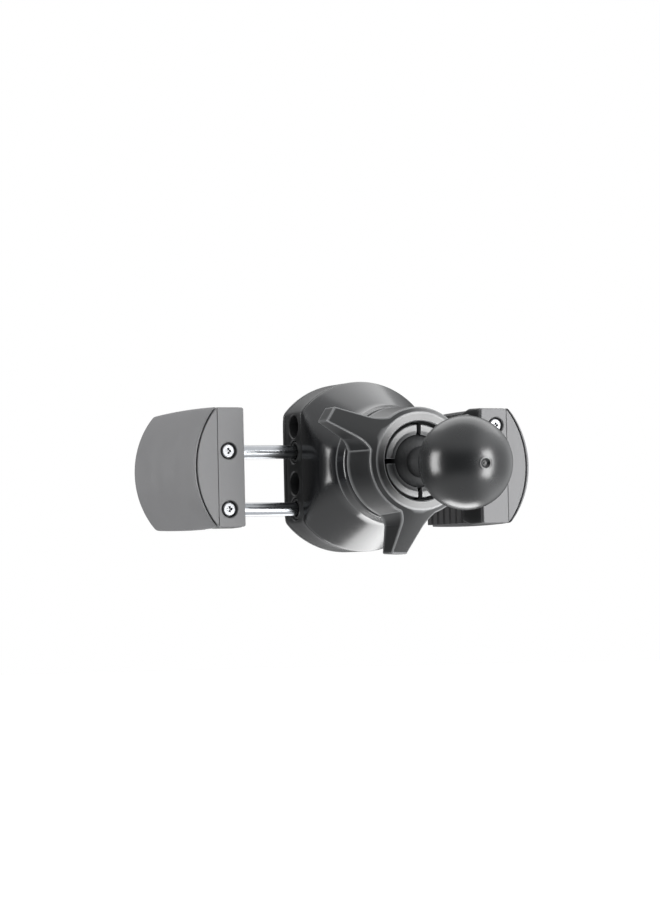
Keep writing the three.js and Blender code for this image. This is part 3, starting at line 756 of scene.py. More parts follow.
def nut_surface(bevel):
    """Rows of points run from the bore over the sloping front, round a bevel, down the wing
    sides, round the rear edge and back up the bore. Each row of the front mixes the bore's
    circle with the outline moved in by the bevel, and its height follows a cone of the
    distance from the axis; the barrel's wall widens a little towards the rear."""
    outline = lobed_outline()
    inward = miters(outline)
    far = np.linalg.norm(outline, axis=1)
    heading = outline / far[:, None]

    def front(distance):
        """Height of the front: the face, a step back outside the ring, a steady slope."""
        slope = (NUT_FRONT_RISE - NUT_RING_STEP) / (NUT_TIP_REACH - NUT_RADIUS)
        step = np.clip((distance - NUT_RING_RADIUS) / NUT_RING_SLANT, 0, 1) * NUT_RING_STEP
        return NUT_FACE_Y + step + np.maximum(distance - NUT_RADIUS, 0) * slope

    def rear(distance):
        """Height of the rear: level under the barrel, then a steady slope to the wing tips."""
        slope = (NUT_BACK_Y - NUT_SKIRT_Y) / (LOBE_TIP - NUT_SKIRT_RADIUS)
        return NUT_SKIRT_Y + np.maximum(distance - NUT_SKIRT_RADIUS, 0) * slope

    def row(plan, height):
        """Points whose x and z are the plan's, at a height."""
        return np.stack([plan[:, 0], np.broadcast_to(height, len(plan)), plan[:, 1]], 1)

    edge = outline + inward * bevel
    edge_front = front(np.linalg.norm(edge, axis=1))
    edge_rear = rear(np.linalg.norm(edge, axis=1))
    widen = NUT_WIDEN * np.clip((NUT_WIDEN_REACH - far) / 2.5, 0, 1)
    mouth = NUT_BORE_RADIUS, NUT_BORE_RADIUS + 0.15
    rows = [row(heading * r, front(r)) for r in (*mouth, *NUT_RING_ROWS)]
    ring = heading * NUT_RING_ROWS[-1]
    for share in (0.08, 0.2, 0.35, 0.5, 0.65, 0.8, 0.92, 0.98):
        plan = ring + (edge - ring) * share
        rows.append(row(plan, front(np.linalg.norm(plan, axis=1))))
    for turn in np.linspace(0, np.pi / 2, 6):
        plan = outline + inward * bevel * (1 - np.sin(turn))
        rows.append(row(plan, edge_front + bevel * (1 - np.cos(turn))))
    for share in (0.1, 0.35, 0.6, 0.85):
        plan = outline + heading * (widen * share)[:, None]
        rows.append(row(plan, edge_front + bevel + (edge_rear - edge_front - 2 * bevel) * share))
    for turn in np.linspace(np.pi / 2, 0, 5):
        plan = outline + heading * widen[:, None] + inward * bevel * (1 - np.sin(turn))
        rows.append(row(plan, edge_rear - bevel * (1 - np.cos(turn))))
    wide = edge + heading * widen[:, None]
    bore = COLLET_THREAD + GAP
    for share in (0.1, 0.5, 0.9):
        plan = wide + (heading * (bore + 0.5) - wide) * share
        rows.append(row(plan, rear(np.linalg.norm(plan, axis=1))))
    lining = rounded(
        [
            [bore + 0.4, NUT_SKIRT_Y], [bore, NUT_SKIRT_Y - 0.4], [bore, 37.1], [11.5, 36.5],
            [10.65, 33.2], [11.1, 32.4], [11.1, NUT_FACE_Y + 0.3],
        ],
        0.2, False, 4,
    )
    rows += [row(heading * r, y) for r, y in lining]
    return surface(np.array(rows), ring=True)


def bell_surface():
    """Hollow flare turned round y, its x held by a soft limit at the flats, with an inner
    wall of the same kind. One closed profile runs round the wall."""
    outer = rounded(
        [
            [COLLET_THREAD + GAP, BELL_FRONT_Y + 0.3], [COLLET_THREAD + GAP + 0.3, BELL_FRONT_Y],
            [15.0, BELL_FRONT_Y], [16.0, 46.3], BELL_KNEE, BELL_BAND,
            [CRADLE_RADIUS, BELL_RIM_Y - 0.5], [CRADLE_RADIUS - 0.05, BELL_RIM_Y],
            [22.3, BELL_RIM_Y],
        ],
        [0, 0.1, 0.7, 0.9, 2.5, 0.4, 0.35, 0.35, 0], False, 12,
    )
    roof = BELL_FRONT_Y + 2.3
    inner = np.array([[22.0, BELL_RIM_Y], [14.0, 53.5], [13.4, roof], [COLLET_THREAD + GAP, roof]])
    skin = divided(outer, 0.9)
    profile = np.concatenate([skin, divided(inner, 2.0)])
    lining = np.arange(len(profile)) >= len(skin)
    turn = np.linspace(0, 2 * np.pi, 420, endpoint=False)
    x = profile[:, :1] * np.cos(turn)
    z = profile[:, :1] * np.sin(turn)
    limit = np.where(lining, FLAT_X - BELL_WALL, FLAT_X)[:, None]
    y = np.broadcast_to(profile[:, 1:], x.shape)
    softness = 0.8 + 0.6 * np.clip((BELL_RIM_Y - 2 - y) / 8, 0, 1)
    x = np.where(profile[:, :1] > limit - 2.5, soft_limit(x, limit, softness), x)
    return surface(np.stack([x, y, z], -1), ring=True)


def pin(radius, first, last, x, z):
    """A plain cutting pin along y."""
    profile = [[0, first], [radius, first], [radius, last], [0, last]]
    return turned(profile, 40, centre=(x, z))


def countersunk(radius, mouth, depth, x, z, chamfer=0.2):
    """A cutting pin along y that starts at its mouth, widened there by the chamfer."""
    way = np.sign(depth)
    profile = [
        [0, mouth - way], [radius + chamfer + 1, mouth - way], [radius + chamfer, mouth],
        [radius, mouth + way * chamfer], [radius, mouth + depth], [0, mouth + depth],
    ]
    return turned(profile, 48, centre=(x, z))


def cross_cutter(x, z, mouth, depth, width, bar):
    """Tapered cross recess: the outline of two crossed bars, moved in as it goes deeper."""
    w, b = width / 2, bar / 2
    arm = np.array([[w, -b], [w, b], [b, b]])
    quarters = [(1, 0), (0, 1), (-1, 0), (0, -1)]
    outline = np.concatenate([arm @ np.array([[c, s], [-s, c]]) for c, s in quarters])
    way = np.sign(depth)
    levels = [[mouth - way * 0.6, -0.06], [mouth, -0.06], [mouth + depth, 0.12]]
    vertices, faces = carried(outline, levels)
    return vertices + (x, 0, z), faces


def arm_outline(apex=0.0, ends=0.0, top=0.0, inner=ARM_INNER_X, corner=0.55):
    """D outline in x and z, counter-clockwise: straight inner edge, short flats above and
    below, and an outer arc through the corner and the apex. The apex, the arc's ends and the
    flats move in by their own amounts; flats that move out leave the arc where it was."""
    height = ARM_HALF_HEIGHT - max(top, 0)
    corner_x, apex_x = ARM_CORNER_X - ends, ARM_APEX_X - apex
    rise = apex_x - corner_x
    radius = (height**2 + rise**2) / (2 * rise)
    half = np.degrees(np.arcsin(height / radius))
    bow = clear_ends(arc((apex_x - radius, 0), radius, -half, half, 64))
    reach = np.zeros(len(bow))
    if top < 0:
        stretch = np.array([[corner_x, ARM_HALF_HEIGHT - top]])
        bow = np.concatenate([stretch * (1, -1), bow, stretch])
        reach = np.zeros(len(bow))
    else:
        reach[[0, -1]] = 0.9
    last = ARM_HALF_HEIGHT - top
    outline = np.concatenate([[[inner, -last]], bow, [[inner, last]]])
    return refined(rounded(outline, [corner, *reach, corner], steps=5), 1.5)


def arm_swell(height):
    """Height scale of the arm along y: one plus four swells times the share done times the
    share left."""
    share = (height - ARM_BACK_Y) / (ARM_TIP_Y - ARM_BACK_Y)
    return 1 + ARM_SWELL * 4 * share * (1 - share)


def shell_mesh():
    """The D outline carried along y with rounded ends, less the plate's and the core's
    pockets, which run out above and below, the side the grip closes, and the cavity behind
    the grip."""
    outside = carried(
        arm_outline(), edge_levels(ARM_BACK_Y, ARM_TIP_Y, 0.3, 0.45, 16), swell=arm_swell,
    )
    mouth = [[ARM_BACK_Y - 1, -0.5], [ARM_BACK_Y - 0.01, -0.16], [ARM_BACK_Y + 0.16, 0]]
    plate = carried(
        arm_outline(
            PLATE_INSET - GAP, PLATE_END_INSET - GAP, top=-1.5, inner=ARM_INNER_X - 2, corner=0,
        ),
        [*mouth, [ARM_BACK_Y + 2.5, 0]],
    )
    core = carried(
        arm_outline(
            ARM_WALL, CORE_END_INSET - GAP, top=-2.5, inner=ARM_INNER_X - 2.5, corner=0,
        ),
        [[ARM_BACK_Y + 1, 0], [CORE_END_Y, 0]],
    )
    side = box_shell(
        (30, CORE_END_Y - 0.01, -25), (GRIP_X + GRIP_DEPTH, ARM_TIP_Y + 1, 25), along="z",
    )
    cavity = carried(
        arm_outline(ARM_WALL, CORE_END_INSET, ARM_WALL),
        [[CORE_END_Y + ARM_WALL, 0], [ARM_TIP_Y - ARM_WALL, 0]], swell=arm_swell,
    )
    return carved("arm_shell", outside, [plate, core, side, cavity])


def plate_mesh():
    """D outline whose arc is moved in most at its apex, with softened edges, a fine groove
    and two screw recesses."""
    levels = edge_levels(ARM_BACK_Y, PLATE_FRONT_Y, 0.3, 0.15)
    plate = carried(arm_outline(PLATE_INSET, PLATE_END_INSET, 0.1, corner=0.6), levels)
    half, depth = 0.14, 0.22
    section = np.array([
        [CREASE_X - half * 2, ARM_BACK_Y - depth], [CREASE_X - half, ARM_BACK_Y + depth],
        [CREASE_X + half, ARM_BACK_Y + depth], [CREASE_X + half * 2, ARM_BACK_Y - depth],
    ])
    groove = carried(section[::-1], [[-25, 0], [25, 0]], along="z")
    holes = [countersunk(2.45, ARM_BACK_Y, 4, SCREW_X, z) for z in ROD_HEIGHTS]
    return carved("face_plate", plate, [groove, *holes])


def core_mesh():
    """D outline of the arm's full height inside the wall, a little lower towards its front
    end, with rod bores and screw holes."""
    back = PLATE_FRONT_Y + 0.3
    front = CORE_END_Y - GAP
    levels = edge_levels(back, front, 0.3, 0.3, 6)

    def ends(height):
        """Height scale of the core: the arm's swell, less a taper over its last millimetres."""
        done = np.clip((height - front + CORE_TAPER_LENGTH) / CORE_TAPER_LENGTH, 0, 1)
        return arm_swell(height) * (1 - CORE_TAPER * done)

    outline = arm_outline(ARM_WALL + GAP, CORE_END_INSET, 0, corner=0.7)
    core = carried(outline, levels, swell=ends)
    bores, holes = [], []
    wide, bore, floor = ROD_RADIUS + 0.6, ROD_RADIUS + GAP, ROD_HIGH[0] + GAP
    profile = [
        [0, ARM_INNER_X - 1], [wide, ARM_INNER_X - 1], [wide, ARM_INNER_X],
        [bore, ARM_INNER_X + 0.3], [bore, floor], [0, floor],
    ]
    for z in ROD_HEIGHTS:
        bores.append(turned(profile, 48, "x", centre=(ROD_Y, z)))
        holes.append(countersunk(1.3, back, ROD_Y + 3.6 - back, SCREW_X, z))
    return carved("arm_core", core, [joined(*bores), joined(*holes)])


def grip_mesh(groove):
    """Section in x and y of a strip with seven round-bottomed grooves on its face, carried
    along z with rounded ends, and a plug behind it that fills the shell's cavity."""
    back, front = CORE_END_Y + GAP, ARM_TIP_Y - 0.4
    inner = GRIP_X + GRIP_DEPTH - GAP
    height = ARM_HALF_HEIGHT - 0.5
    along = np.linspace(back + 0.9, front - 0.9, 220)
    turn = (along - back - GRIP_FIRST) / GRIP_PITCH
    grooved = np.abs(turn - (GRIP_GROOVES - 1) / 2) < GRIP_GROOVES / 2
    dip = np.clip((np.cos(2 * np.pi * turn) - 0.3) / 0.5, 0, 1) * grooved
    face = np.stack([GRIP_X + groove * dip, along], 1)
    rear = [
        [GRIP_X + 0.3, front - 0.2], [GRIP_X + 0.8, front], [inner, front], [inner, back],
        [GRIP_X + 0.8, back], [GRIP_X + 0.3, back + 0.2],
    ]
    levels = edge_levels(-height, height, 0.12, 0.12, 6)
    strip = carried(np.concatenate([face, rear]), levels, along="z")
    plug = carried(
        arm_outline(ARM_WALL + GAP, CORE_END_INSET + GAP, ARM_WALL + GAP, GRIP_X + 1),
        [[CORE_END_Y + ARM_WALL + GAP, 0], [ARM_TIP_Y - ARM_WALL - GAP, 0]],
    )
    return carved("grip_pad", strip, additions=[plug])


def rod_mesh(z):
    """Bar turned round x with chamfered ends and a clip groove, cross-drilled for its screw."""
    r = ROD_RADIUS
    low, high = ROD_LOW[0], ROD_HIGH[0]
    profile = [
        [0, low], [r - 0.4, low], [r, low + 0.4], [r, CLIP_X - 0.4], [1.4, CLIP_X - 0.4],
        [1.4, CLIP_X + 0.4], [r, CLIP_X + 0.4], [r, high - 0.5], [r - 0.5, high], [0, high],
    ]
    bar = turned(rounded(profile, 0.12, False, 4), 64, "x", centre=(ROD_Y, z))
    return carved("rod", bar, [pin(1.25, ROD_Y - 3, ROD_Y + 3, SCREW_X, z)])


def clip_surface(z):
    """Ring turned round x, its four edges softened."""
    profile = [[1.7, CLIP_X - 0.3], [2.95, CLIP_X - 0.3], [2.95, CLIP_X + 0.3], [1.7, CLIP_X + 0.3]]
    return turned(rounded(profile, 0.14), 64, "x", True, (ROD_Y, z))


def bush_surface(z):
    """Sleeve turned round x in the mouth of a rod bore, its edges softened."""
    inner, outer = ROD_RADIUS + 0.3, BORE_RADIUS - 0.3
    profile = [
        [inner, FLAT_X - BUSH_LENGTH], [outer, FLAT_X - BUSH_LENGTH], [outer, FLAT_X - 0.15],
        [inner, FLAT_X - 0.15],
    ]
    return turned(rounded(profile, 0.3), 64, "x", True, (ROD_Y, z))


def spring_surface(z, wire, turns):
    """Round wire along a helix: centre line radius times cosine and sine round x while x
    grows evenly, but for a flat turn at each end; the section is a circle in the plane of
    the radius and the line's binormal."""
    low, high = SPRING_CLIP_END, SPRING_BUSH_END
    share = np.linspace(0, 1, turns * 40)
    rise = np.clip((share - 0.08) / 0.84, 0, 1)
    angle = 2 * np.pi * turns * share
    x = low + wire + (high - low - 2 * wire) * (0.05 * share + 0.95 * rise)
    outward = np.stack([0 * angle, np.cos(angle), np.sin(angle)], 1)
    line = np.stack([x, ROD_Y + 0 * angle, z + 0 * angle], 1) + SPRING_MEAN_RADIUS * outward
    along = np.gradient(line, axis=0)
    along /= np.linalg.norm(along, axis=1)[:, None]
    across = np.cross(along, outward)
    turn = np.linspace(0, 2 * np.pi, 12, endpoint=False)[None, :, None]
    tube = line[:, None] + wire * (np.cos(turn) * outward[:, None] + np.sin(turn) * across[:, None])
    return surface(tube)


def pan_screw_mesh(z):
    """Head turned round y with a low dome, its shank, and a tapered cross recess."""
    crown, seat = SCREW_BACK_Y, PLATE_FRONT_Y + 0.1
    outline = rounded(
        [
            [0, crown], [1.7, crown + 0.03], [2.0, crown + 0.3], [2.05, crown + 0.7],
            [2.05, seat], [0.92, seat], [0.92, SCREW_END_Y - 0.5], [0.5, SCREW_END_Y],
            [0, SCREW_END_Y],
        ],
        [0, 0.35, 0.35, 0.3, 0.15, 0.1, 0.2, 0.2, 0], False,
    )
    recess = cross_cutter(SCREW_X, z, crown, 0.8, 1.6, 0.6)
    return carved("screw", turned(outline, 64, centre=(SCREW_X, z)), [recess])


def long_screw_mesh(x, z):
    """Flush head towards the phone with a cross recess, and a long shank."""
    crown = COVER_FRONT_Y
    outline = rounded(
        [
            [0, LONG_SCREW_END_Y], [0.9, LONG_SCREW_END_Y], [1.3, LONG_SCREW_END_Y + 0.5],
            [1.3, crown - 1.35], [2.6, crown - 1.35], [2.6, crown - 0.3], [2.2, crown],
            [0, crown],
        ],
        [0, 0.2, 0.2, 0.1, 0.2, 0.25, 0.25, 0], False,
    )
    recess = cross_cutter(x, z, crown, -0.9, 2.4, 0.7)
    return carved("long_screw", turned(outline, 64, centre=(x, z)), [recess])


def housing_mesh():
    """Flatted disc with softened edges and the collet's backing tube, bored for four rods
    and four screws."""
    levels = edge_levels(BLOCK_BACK_Y, BLOCK_FRONT_Y, 0.5, 0.3, 3)
    block = carried(flatted_disc(), levels)
    rear, fore = span("housing_body")[0][1], BLOCK_BACK_Y + 0.8
    inner, outer = BACKING_TUBE
    tube = turned([[inner, rear], [outer, rear], [outer, fore], [inner, fore]], 72, ring=True)
    wide, mouth = BORE_RADIUS + 0.25, FLAT_X - 0.25
    profile = [
        [0, -FLAT_X - 1], [wide, -FLAT_X - 1], [wide, -FLAT_X], [BORE_RADIUS, -mouth],
        [BORE_RADIUS, mouth], [wide, FLAT_X], [wide, FLAT_X + 1], [0, FLAT_X + 1],
    ]
    heights = (*ROD_HEIGHTS, *(-z for z in ROD_HEIGHTS))
    bores = [turned(profile, 48, "x", centre=(ROD_Y, z)) for z in heights]
    ends = BLOCK_BACK_Y - 1, BLOCK_FRONT_Y + 1
    holes = [pin(SCREW_HOLE_RADIUS, *ends, x, z) for x, z in HOUSING_SCREWS]
    return carved("housing", block, [joined(*bores), joined(*holes)], [tube])


def cover_mesh():
    """Flatted disc whose front edge is chamfered and softened, with counterbored screw
    holes."""
    back, front = BLOCK_FRONT_Y + GAP, COVER_FRONT_Y
    levels = [
        [back, 0.26], [back, 0.2], [back + 0.1, 0.06], [back + 0.25, 0], [front - 1.6, 0],
        [front - 1.4, 0.05], [front - 0.2, 0.5], [front - 0.05, 0.62], [front, 0.8],
        [front, 0.86],
    ]
    disc = carried(flatted_disc(corner=1.0), levels)
    holes = [pin(SCREW_HOLE_RADIUS, back - 1, front + 1, x, z) for x, z in HOUSING_SCREWS]
    sinks = [countersunk(2.6 + GAP, front, -1.7, x, z) for x, z in HOUSING_SCREWS]
    return carved("cover", disc, [joined(*holes), joined(*sinks)])


def pad_surface():
    """Flatted disc turned as a grid: x held at the flats, the front lowered in fine rings by
    the top part of a cosine of the distance from the axis."""
    radius = CRADLE_RADIUS - PAD_INSET
    corners = [[0, PAD_BACK_Y], [radius, PAD_BACK_Y], [radius, PHONE_FACE_Y]]
    edge = rounded([*corners, [radius - 2, PHONE_FACE_Y]], [0, 0.2, 0.5, 0], False)
    reach = np.linspace(radius - 2.1, 0, 240)
    wave = np.clip(np.cos(2 * np.pi * (reach - 3) / PAD_RING_PITCH) - 0.55, 0, 1) / 0.45
    rings = np.stack([reach, PHONE_FACE_Y - PAD_RING_DEPTH * wave * (reach > 2.5)], 1)
    profile = np.concatenate([edge, rings])
    turn = np.linspace(0, 2 * np.pi, 240, endpoint=False)
    x = soft_limit(profile[:, :1] * np.cos(turn), FLAT_X - PAD_INSET, 0.5)
    z = profile[:, :1] * np.sin(turn)
    return surface(np.stack([x, np.broadcast_to(profile[:, 1:], x.shape), z], -1))


def seat_plug_surface():
    """Disc turned round y, hollowed at the back to the socket's sphere, with a blind centre."""
    radius, hollow = SEAT_BORE_RADIUS - GAP, STUD_BALL_RADIUS + 2.9
    rim = np.degrees(np.arcsin(radius / hollow))
    bowl = arc((SOCKET_Y, 0), hollow, 0, rim, 24)[:, ::-1]
    bowl[0, 0] = 0
    back, dent = COLLET_REAR_Y, COLLET_REAR_Y - 1.2
    rear = rounded(
        [bowl[-1], [radius, back], [3, back], [3, dent], [0, dent]], [0, 0.4, 0.2, 0.2, 0], False,
    )
    return turned(np.concatenate([bowl, rear[1:]]), 72)


# ---- Properties ----------------------------------------------------------------------------


def length(name, description, millimetres):
    """A length property in metres, from its default in millimetres."""
    return FloatProperty(
        name=name, description=description, default=millimetres / 1000, min=0.0, precision=5,
        unit="LENGTH",
    )


def angle(name, description, degrees):
    """An angle property, from its default in degrees."""
    return FloatProperty(
        name=name, description=description, default=np.radians(degrees), subtype="ANGLE",
    )


def colour(name, description, code):
    """A colour property, from its default as an sRGB hex code."""
    return FloatVectorProperty(
        name=name, description=description, default=linear(code), size=4, min=0.0, max=1.0,
        subtype="COLOR",
    )


class CradleSizes(bpy.types.PropertyGroup):
    """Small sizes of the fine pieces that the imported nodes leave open."""

    dimple: length("Dimple", "Depth of the dimple in the mounting ball", 0.62)
    bevel: length("Nut bevel", "Rounding along the clamp nut's edges", 0.42)
    slot: length("Collet slot", "Width of the slots that split the collet", 1.4)
    groove: length("Grip groove", "Depth of the grooves across the grip pads", 0.6)
    wire: length("Spring wire", "Radius of the return springs' wire", 0.27)
    turns: IntProperty(name="Spring turns", description="Turns of each return spring", default=7)


class CradleColours(bpy.types.PropertyGroup):
    """Base colour of each finish."""

    arm_grey: colour("Arms", "Powder coat of the arms", "#5f5f60")
    black_plastic: colour("Housing", "Nylon of the housing and the arm cores", "#0f1011")
    gloss_black: colour("Bell", "Gloss of the bell", "#131416")
    nut_black: colour("Clamp nut", "Nylon of the clamp nut and the collet", "#151617")
    stud_black: colour("Stud", "E-coat of the ball stud", "#1d1e1f")
    ball_rubber: colour("Ball", "Rubber of the mounting ball", "#151617")
    soft_rubber: colour("Pads", "Soft rubber of the pads", "#1d1d1e")
    seat_nylon: colour("Seat", "Nylon of the socket's seat", "#dcd8cc")
    polished_steel: colour("Rods", "Steel of the guide rods", "#8b8d90")
    screw_steel: colour("Screws", "Plating of the screws", "#808183")
    spring_steel: colour("Springs", "Steel of the springs and clips", "#a9acb0")


class CradleStudio(bpy.types.PropertyGroup):
    """Camera and light of the plain studio."""

    azimuth: angle("Azimuth", "Camera's turn from square behind the ball", -24.71)
    elevation: angle("Elevation", "Camera's height angle", -2.38)
    roll: angle("Roll", "Camera's turn about its own line of sight", -1.27)
    distance: length("Distance", "Camera to the point it looks at", 800)
    lens: FloatProperty(name="Lens", description="Focal length", default=117.4, unit="CAMERA")
    floor: colour("Floor", "Colour of the pale floor", "#f4f4f4")
    floor_depth: length("Floor depth", "Floor below the ball's centre", 250)


GROUPS = {
    "cradle_sizes": CradleSizes,
    "cradle_colours": CradleColours,
    "cradle_studio": CradleStudio,
}


# ---- Operators -----------------------------------------------------------------------------


class CRADLE_OT_ball(bpy.types.Operator):
    """Builds the mounting ball and its stud"""

    bl_idname = "cradle.ball"
    bl_label = "Mounting Ball"

    def execute(self, context):
        dimple = context.scene.cradle_sizes.dimple * 1000
        piece("ball_stud_fine", stud_surface(), "stud", "stud_black", stud_matrix())
        piece("rubber_ball_fine", ball_surface(dimple), "stud", "ball_rubber", stud_matrix())
        return {"FINISHED"}


class CRADLE_OT_socket(bpy.types.Operator):
    """Builds the socket's seat, pad, collet and plug"""

    bl_idname = "cradle.socket"
    bl_label = "Socket"

    def execute(self, context):
        seat = zone_surface(CUP_RADIUS, CUP_RADIUS + 1, 10, 55)
        pad = zone_surface(CUP_RADIUS + 1.3, CUP_RADIUS + 2.3, 12, 58)
        piece("ball_seat_fine", seat, "seat", "seat_nylon")
        piece("seat_pad_fine", pad, "seat_ring", "soft_rubber")
        half = context.scene.cradle_sizes.slot * 1000 / 2
        slots = [
            box_shell((-14, COLLET_FACE_Y - 1, -half), (14, 41, half)),
            box_shell((-half, COLLET_FACE_Y - 1, -14), (half, 41, 14)),
        ]
        collet = carved("collet", collet_shell(), slots)
        piece("split_collet_fine", collet, "cradle", "black_plastic", material="nut_black")
        piece("seat_plug_fine", seat_plug_surface(), "cradle", "black_plastic")
        return {"FINISHED"}


class CRADLE_OT_clamp_nut(bpy.types.Operator):
    """Builds the three-winged clamp nut"""

    bl_idname = "cradle.clamp_nut"
    bl_label = "Clamp Nut"

    def execute(self, context):
        bevel = context.scene.cradle_sizes.bevel * 1000
        piece("clamp_nut_fine", nut_surface(bevel), "nut", "nut_black")
        return {"FINISHED"}


class CRADLE_OT_housing(bpy.types.Operator):
    """Builds the bell, the housing body, its cover, pad and screws"""

    bl_idname = "cradle.housing"
    bl_label = "Housing"

    def execute(self, context):
        piece("bell_cover_fine", bell_surface(), "cradle", "gloss_black")
        piece("housing_body_fine", housing_mesh(), "cradle", "black_plastic")
        piece("front_cover_fine", cover_mesh(), "cradle", "black_plastic")
        piece("phone_pad_fine", pad_surface(), "cradle", "soft_rubber")
        for number, (x, z) in enumerate(HOUSING_SCREWS, 1):
            screw = long_screw_mesh(x, z)
            piece(f"housing_screw_{number}_fine", screw, "cradle", "screw_steel")
        return {"FINISHED"}


class CRADLE_OT_arms(bpy.types.Operator):
    """Builds both arms: shell, face plate, core and grip pad"""

    bl_idname = "cradle.arms"
    bl_label = "Arms"

    def execute(self, context):
        parts = [
            ("arm_shell", shell_mesh(), "arm_grey"),
            ("face_plate", plate_mesh(), "arm_grey"),
            ("arm_core", core_mesh(), "black_plastic"),
            ("grip_pad", grip_mesh(context.scene.cradle_sizes.groove * 1000), "soft_rubber"),
        ]
        for side in ("right", "left"):
            place = head_matrix(side)
            for name, mesh, slot in parts:
                piece(f"{side}_{name}_fine", mesh.copy(), f"{side}_arm", slot, place)
        return {"FINISHED"}


class CRADLE_OT_rods(bpy.types.Operator):
    """Builds the guide rods with their clips, screws, bushes and springs"""

    bl_idname = "cradle.rods"
    bl_label = "Rods and Springs"

    def execute(self, context):
        sizes = context.scene.cradle_sizes
        for side in ("right", "left"):
            place = head_matrix(side)
            for number, z in enumerate(ROD_HEIGHTS, 1):
                moving = [
                    ("guide_rod", rod_mesh(z), "polished_steel"),
                    ("rod_clip", clip_surface(z), "spring_steel"),
                    ("rod_screw", pan_screw_mesh(z), "screw_steel"),
                ]
                for name, mesh, slot in moving:
                    piece(f"{side}_{name}_{number}_fine", mesh, f"{side}_arm", slot, place)
                bush = f"{side}_rod_bush_{number}_fine"
                piece(bush, bush_surface(z), "cradle", "black_plastic", place)
                coil = spring_surface(z, sizes.wire * 1000, sizes.turns)
                name = f"{side}_return_spring_{number}_fine"
                spring = piece(name, coil, None, "spring_steel", place)
                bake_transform(spring)
        return {"FINISHED"}


AIM = (-0.02765, 0.030, 0.00308)  # what the camera looks at, metres from the cradle's origin
LIGHT_BOXES = (
    # name; metres sideways, up and nearer from the middle; width and height; watts
    ("Left box", (-0.6, 0.02, 0.12), (0.26, 0.42), 4.2),
    ("Right box", (0.47, -0.03, 0.38), (0.26, 0.62), 8.0),
    ("Top box", (0.08, 0.49, -0.38), (0.9, 0.5), 1.6),
    ("Low box", (-0.01, -0.38, -0.26), (0.3, 0.2), 1.1),
)
ROOM_DIM, ROOM_ENDS, ROOM_SIDE = 0.14, 1.1, 1.3  # strengths of the room and what is added
ENDS_RISE, SIDE_RISE = (0.2, 0.75), (0.15, 0.75)  # where what is added starts and is full


def area_light(name, place, aim, size, power):
    """A soft box of the given width and height at a place, facing a point."""
    lamp = bpy.data.lights.new(name, "AREA")
    lamp.shape = "RECTANGLE"
    lamp.size, lamp.size_y = size
    lamp.energy = power
    made = linked(name, lamp)
    made.location = place
    made.rotation_euler = (aim - place).to_track_quat("-Z", "Y").to_euler()


def studio_camera(settings, axes):
    """The camera on its line of sight, rolled, at its distance from what it looks at."""
    right, up, towards = axes
    side = right * np.cos(settings.roll) + up * np.sin(settings.roll)
    top = up * np.cos(settings.roll) - right * np.sin(settings.roll)
    aim = Vector(AXIS / 1000) + Vector(AIM)
    lens = bpy.data.cameras.new("Camera")
    lens.lens = settings.lens
    lens.sensor_width = 36
    camera = linked("Camera", lens)
    place = Matrix.Translation(aim + towards * settings.distance)
    camera.matrix_world = place @ Matrix((side, top, towards)).transposed().to_4x4()
    bpy.context.scene.camera = camera


def studio_floor(settings):
    """A round pale sheet of concentric rings under the object."""
    rings, columns = 12, 64
    reach = np.linspace(0.5, 6.0, rings)[:, None]
    turn = np.linspace(0, 2 * np.pi, columns, endpoint=False)
    level = np.full((rings, columns), -settings.floor_depth)
    points = np.stack([reach * np.cos(turn), reach * np.sin(turn), level], -1)
    vertices, faces = surface(points, ends=False)
    mesh = bpy.data.meshes.new("floor")
    mesh.from_pydata(vertices.tolist(), [], faces + [list(range(columns))])
    floor = linked("floor", mesh)
    paint, tree = blank("Matt white studio floor")
    colour_now = tuple(settings.floor)
    glow = add(tree, "ShaderNodeBsdfPrincipled", {
        "Base Color": colour_now, "Roughness": 0.9,
        "Emission Color": colour_now, "Emission Strength": 0.8,
    })
    add(tree, "ShaderNodeOutputMaterial", links={"Surface": glow.outputs["BSDF"]})
    mesh.materials.append(paint)
    floor.visible_glossy = False
    floor.visible_diffuse = False


def studio_room(bright_side):
    """A white backdrop for the eye. Reflections and fill see a dim room instead: its strength
    rises smoothly from the horizon to ceiling and floor, and towards its bright side."""
    world = bpy.data.worlds.new("Studio")
    bpy.context.scene.world = world
    world.use_nodes = True
    tree = world.node_tree
    tree.nodes.clear()
    where = add(tree, "ShaderNodeTexCoord").outputs["Generated"]

    def rise(share, low, high, amount):
        """A smooth step of the amount between two values of the share."""
        return add(
            tree, "ShaderNodeMapRange",
            {"From Min": low, "From Max": high, "To Min": 0.0, "To Max": amount},
            {"Value": share}, interpolation_type="SMOOTHSTEP",
        ).outputs["Result"]

    height = add(tree, "ShaderNodeSeparateXYZ", links={"Vector": where}).outputs["Z"]
    slant = add(tree, "ShaderNodeMath", links={0: height}, operation="ABSOLUTE")
    heading = add(
        tree, "ShaderNodeVectorMath", {1: bright_side}, {0: where}, operation="DOT_PRODUCT",
    )
    ends = rise(slant.outputs["Value"], *ENDS_RISE, ROOM_ENDS)
    window = rise(heading.outputs["Value"], *SIDE_RISE, ROOM_SIDE)
    both = add(tree, "ShaderNodeMath", links={0: ends, 1: window}, operation="ADD")
    strength = add(
        tree, "ShaderNodeMath", {1: ROOM_DIM}, {0: both.outputs["Value"]}, operation="ADD",
    )
    room = add(
        tree, "ShaderNodeBackground", {"Color": linear("#f6f7f8")},
        {"Strength": strength.outputs["Value"]},
    )
    backdrop = add(
        tree, "ShaderNodeBackground", {"Color": linear("#ffffff"), "Strength": 1.0},
    )
    path = add(tree, "ShaderNodeLightPath")
    mixed = add(
        tree, "ShaderNodeMixShader",
        links={0: path.outputs["Is Camera Ray"], 1: room.outputs[0], 2: backdrop.outputs[0]},
    )
    add(tree, "ShaderNodeOutputWorld", links={"Surface": mixed.outputs[0]})


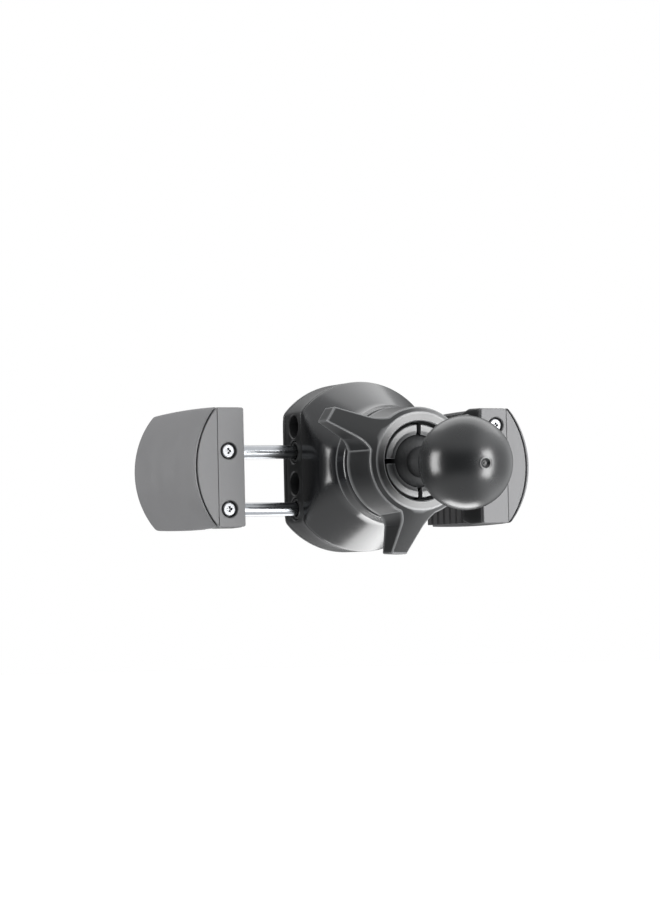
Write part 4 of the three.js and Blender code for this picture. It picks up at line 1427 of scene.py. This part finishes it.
class CRADLE_OT_stage(bpy.types.Operator):
    """Sets up the camera, the pale floor and the soft studio light"""

    bl_idname = "cradle.stage"
    bl_label = "Studio"

    def execute(self, context):
        settings = context.scene.cradle_studio
        turn, rise = settings.azimuth, settings.elevation
        flat = np.cos(rise)
        towards = Vector((np.sin(turn) * flat, -np.cos(turn) * flat, np.sin(rise)))
        right = (-towards).cross(Vector((0, 0, 1))).normalized()
        up = right.cross(-towards)
        studio_camera(settings, (right, up, towards))
        studio_floor(settings)
        studio_room(right)
        middle = Vector(sum(np.array(corner) for corner in CAD_BOX) / 2)
        for name, (sideways, height, near), size, power in LIGHT_BOXES:
            place = middle + right * sideways + up * height + towards * near
            area_light(name, place, middle, size, power)
        context.scene.view_settings.view_transform = "Standard"
        return {"FINISHED"}


class CRADLE_PT_panel(bpy.types.Panel):
    """Lists the builders in the 3D view's sidebar"""

    bl_idname = "CRADLE_PT_panel"
    bl_label = "Phone Cradle"
    bl_space_type = "VIEW_3D"
    bl_region_type = "UI"
    bl_category = "Cradle"

    def draw(self, context):
        for operator in OPERATORS:
            self.layout.operator(operator.bl_idname)
        for group, kind in GROUPS.items():
            for name in kind.__annotations__:
                self.layout.prop(getattr(context.scene, group), name)


OPERATORS = (
    CRADLE_OT_ball,
    CRADLE_OT_socket,
    CRADLE_OT_clamp_nut,
    CRADLE_OT_housing,
    CRADLE_OT_arms,
    CRADLE_OT_rods,
    CRADLE_OT_stage,
)
CLASSES = (*GROUPS.values(), *OPERATORS, CRADLE_PT_panel)


def register():
    """Registers the classes and hangs the settings on the scene."""
    for kind in CLASSES:
        bpy.utils.register_class(kind)
    for name, kind in GROUPS.items():
        setattr(bpy.types.Scene, name, PointerProperty(type=kind))


def unregister():
    """Takes the settings and classes away again."""
    for name in GROUPS:
        delattr(bpy.types.Scene, name)
    for kind in reversed(CLASSES):
        bpy.utils.unregister_class(kind)


def main():
    """Builds everything in order."""
    register()
    for operator in OPERATORS:
        group, name = operator.bl_idname.split(".")
        getattr(getattr(bpy.ops, group), name)()


if __name__ == "__main__":
    main()
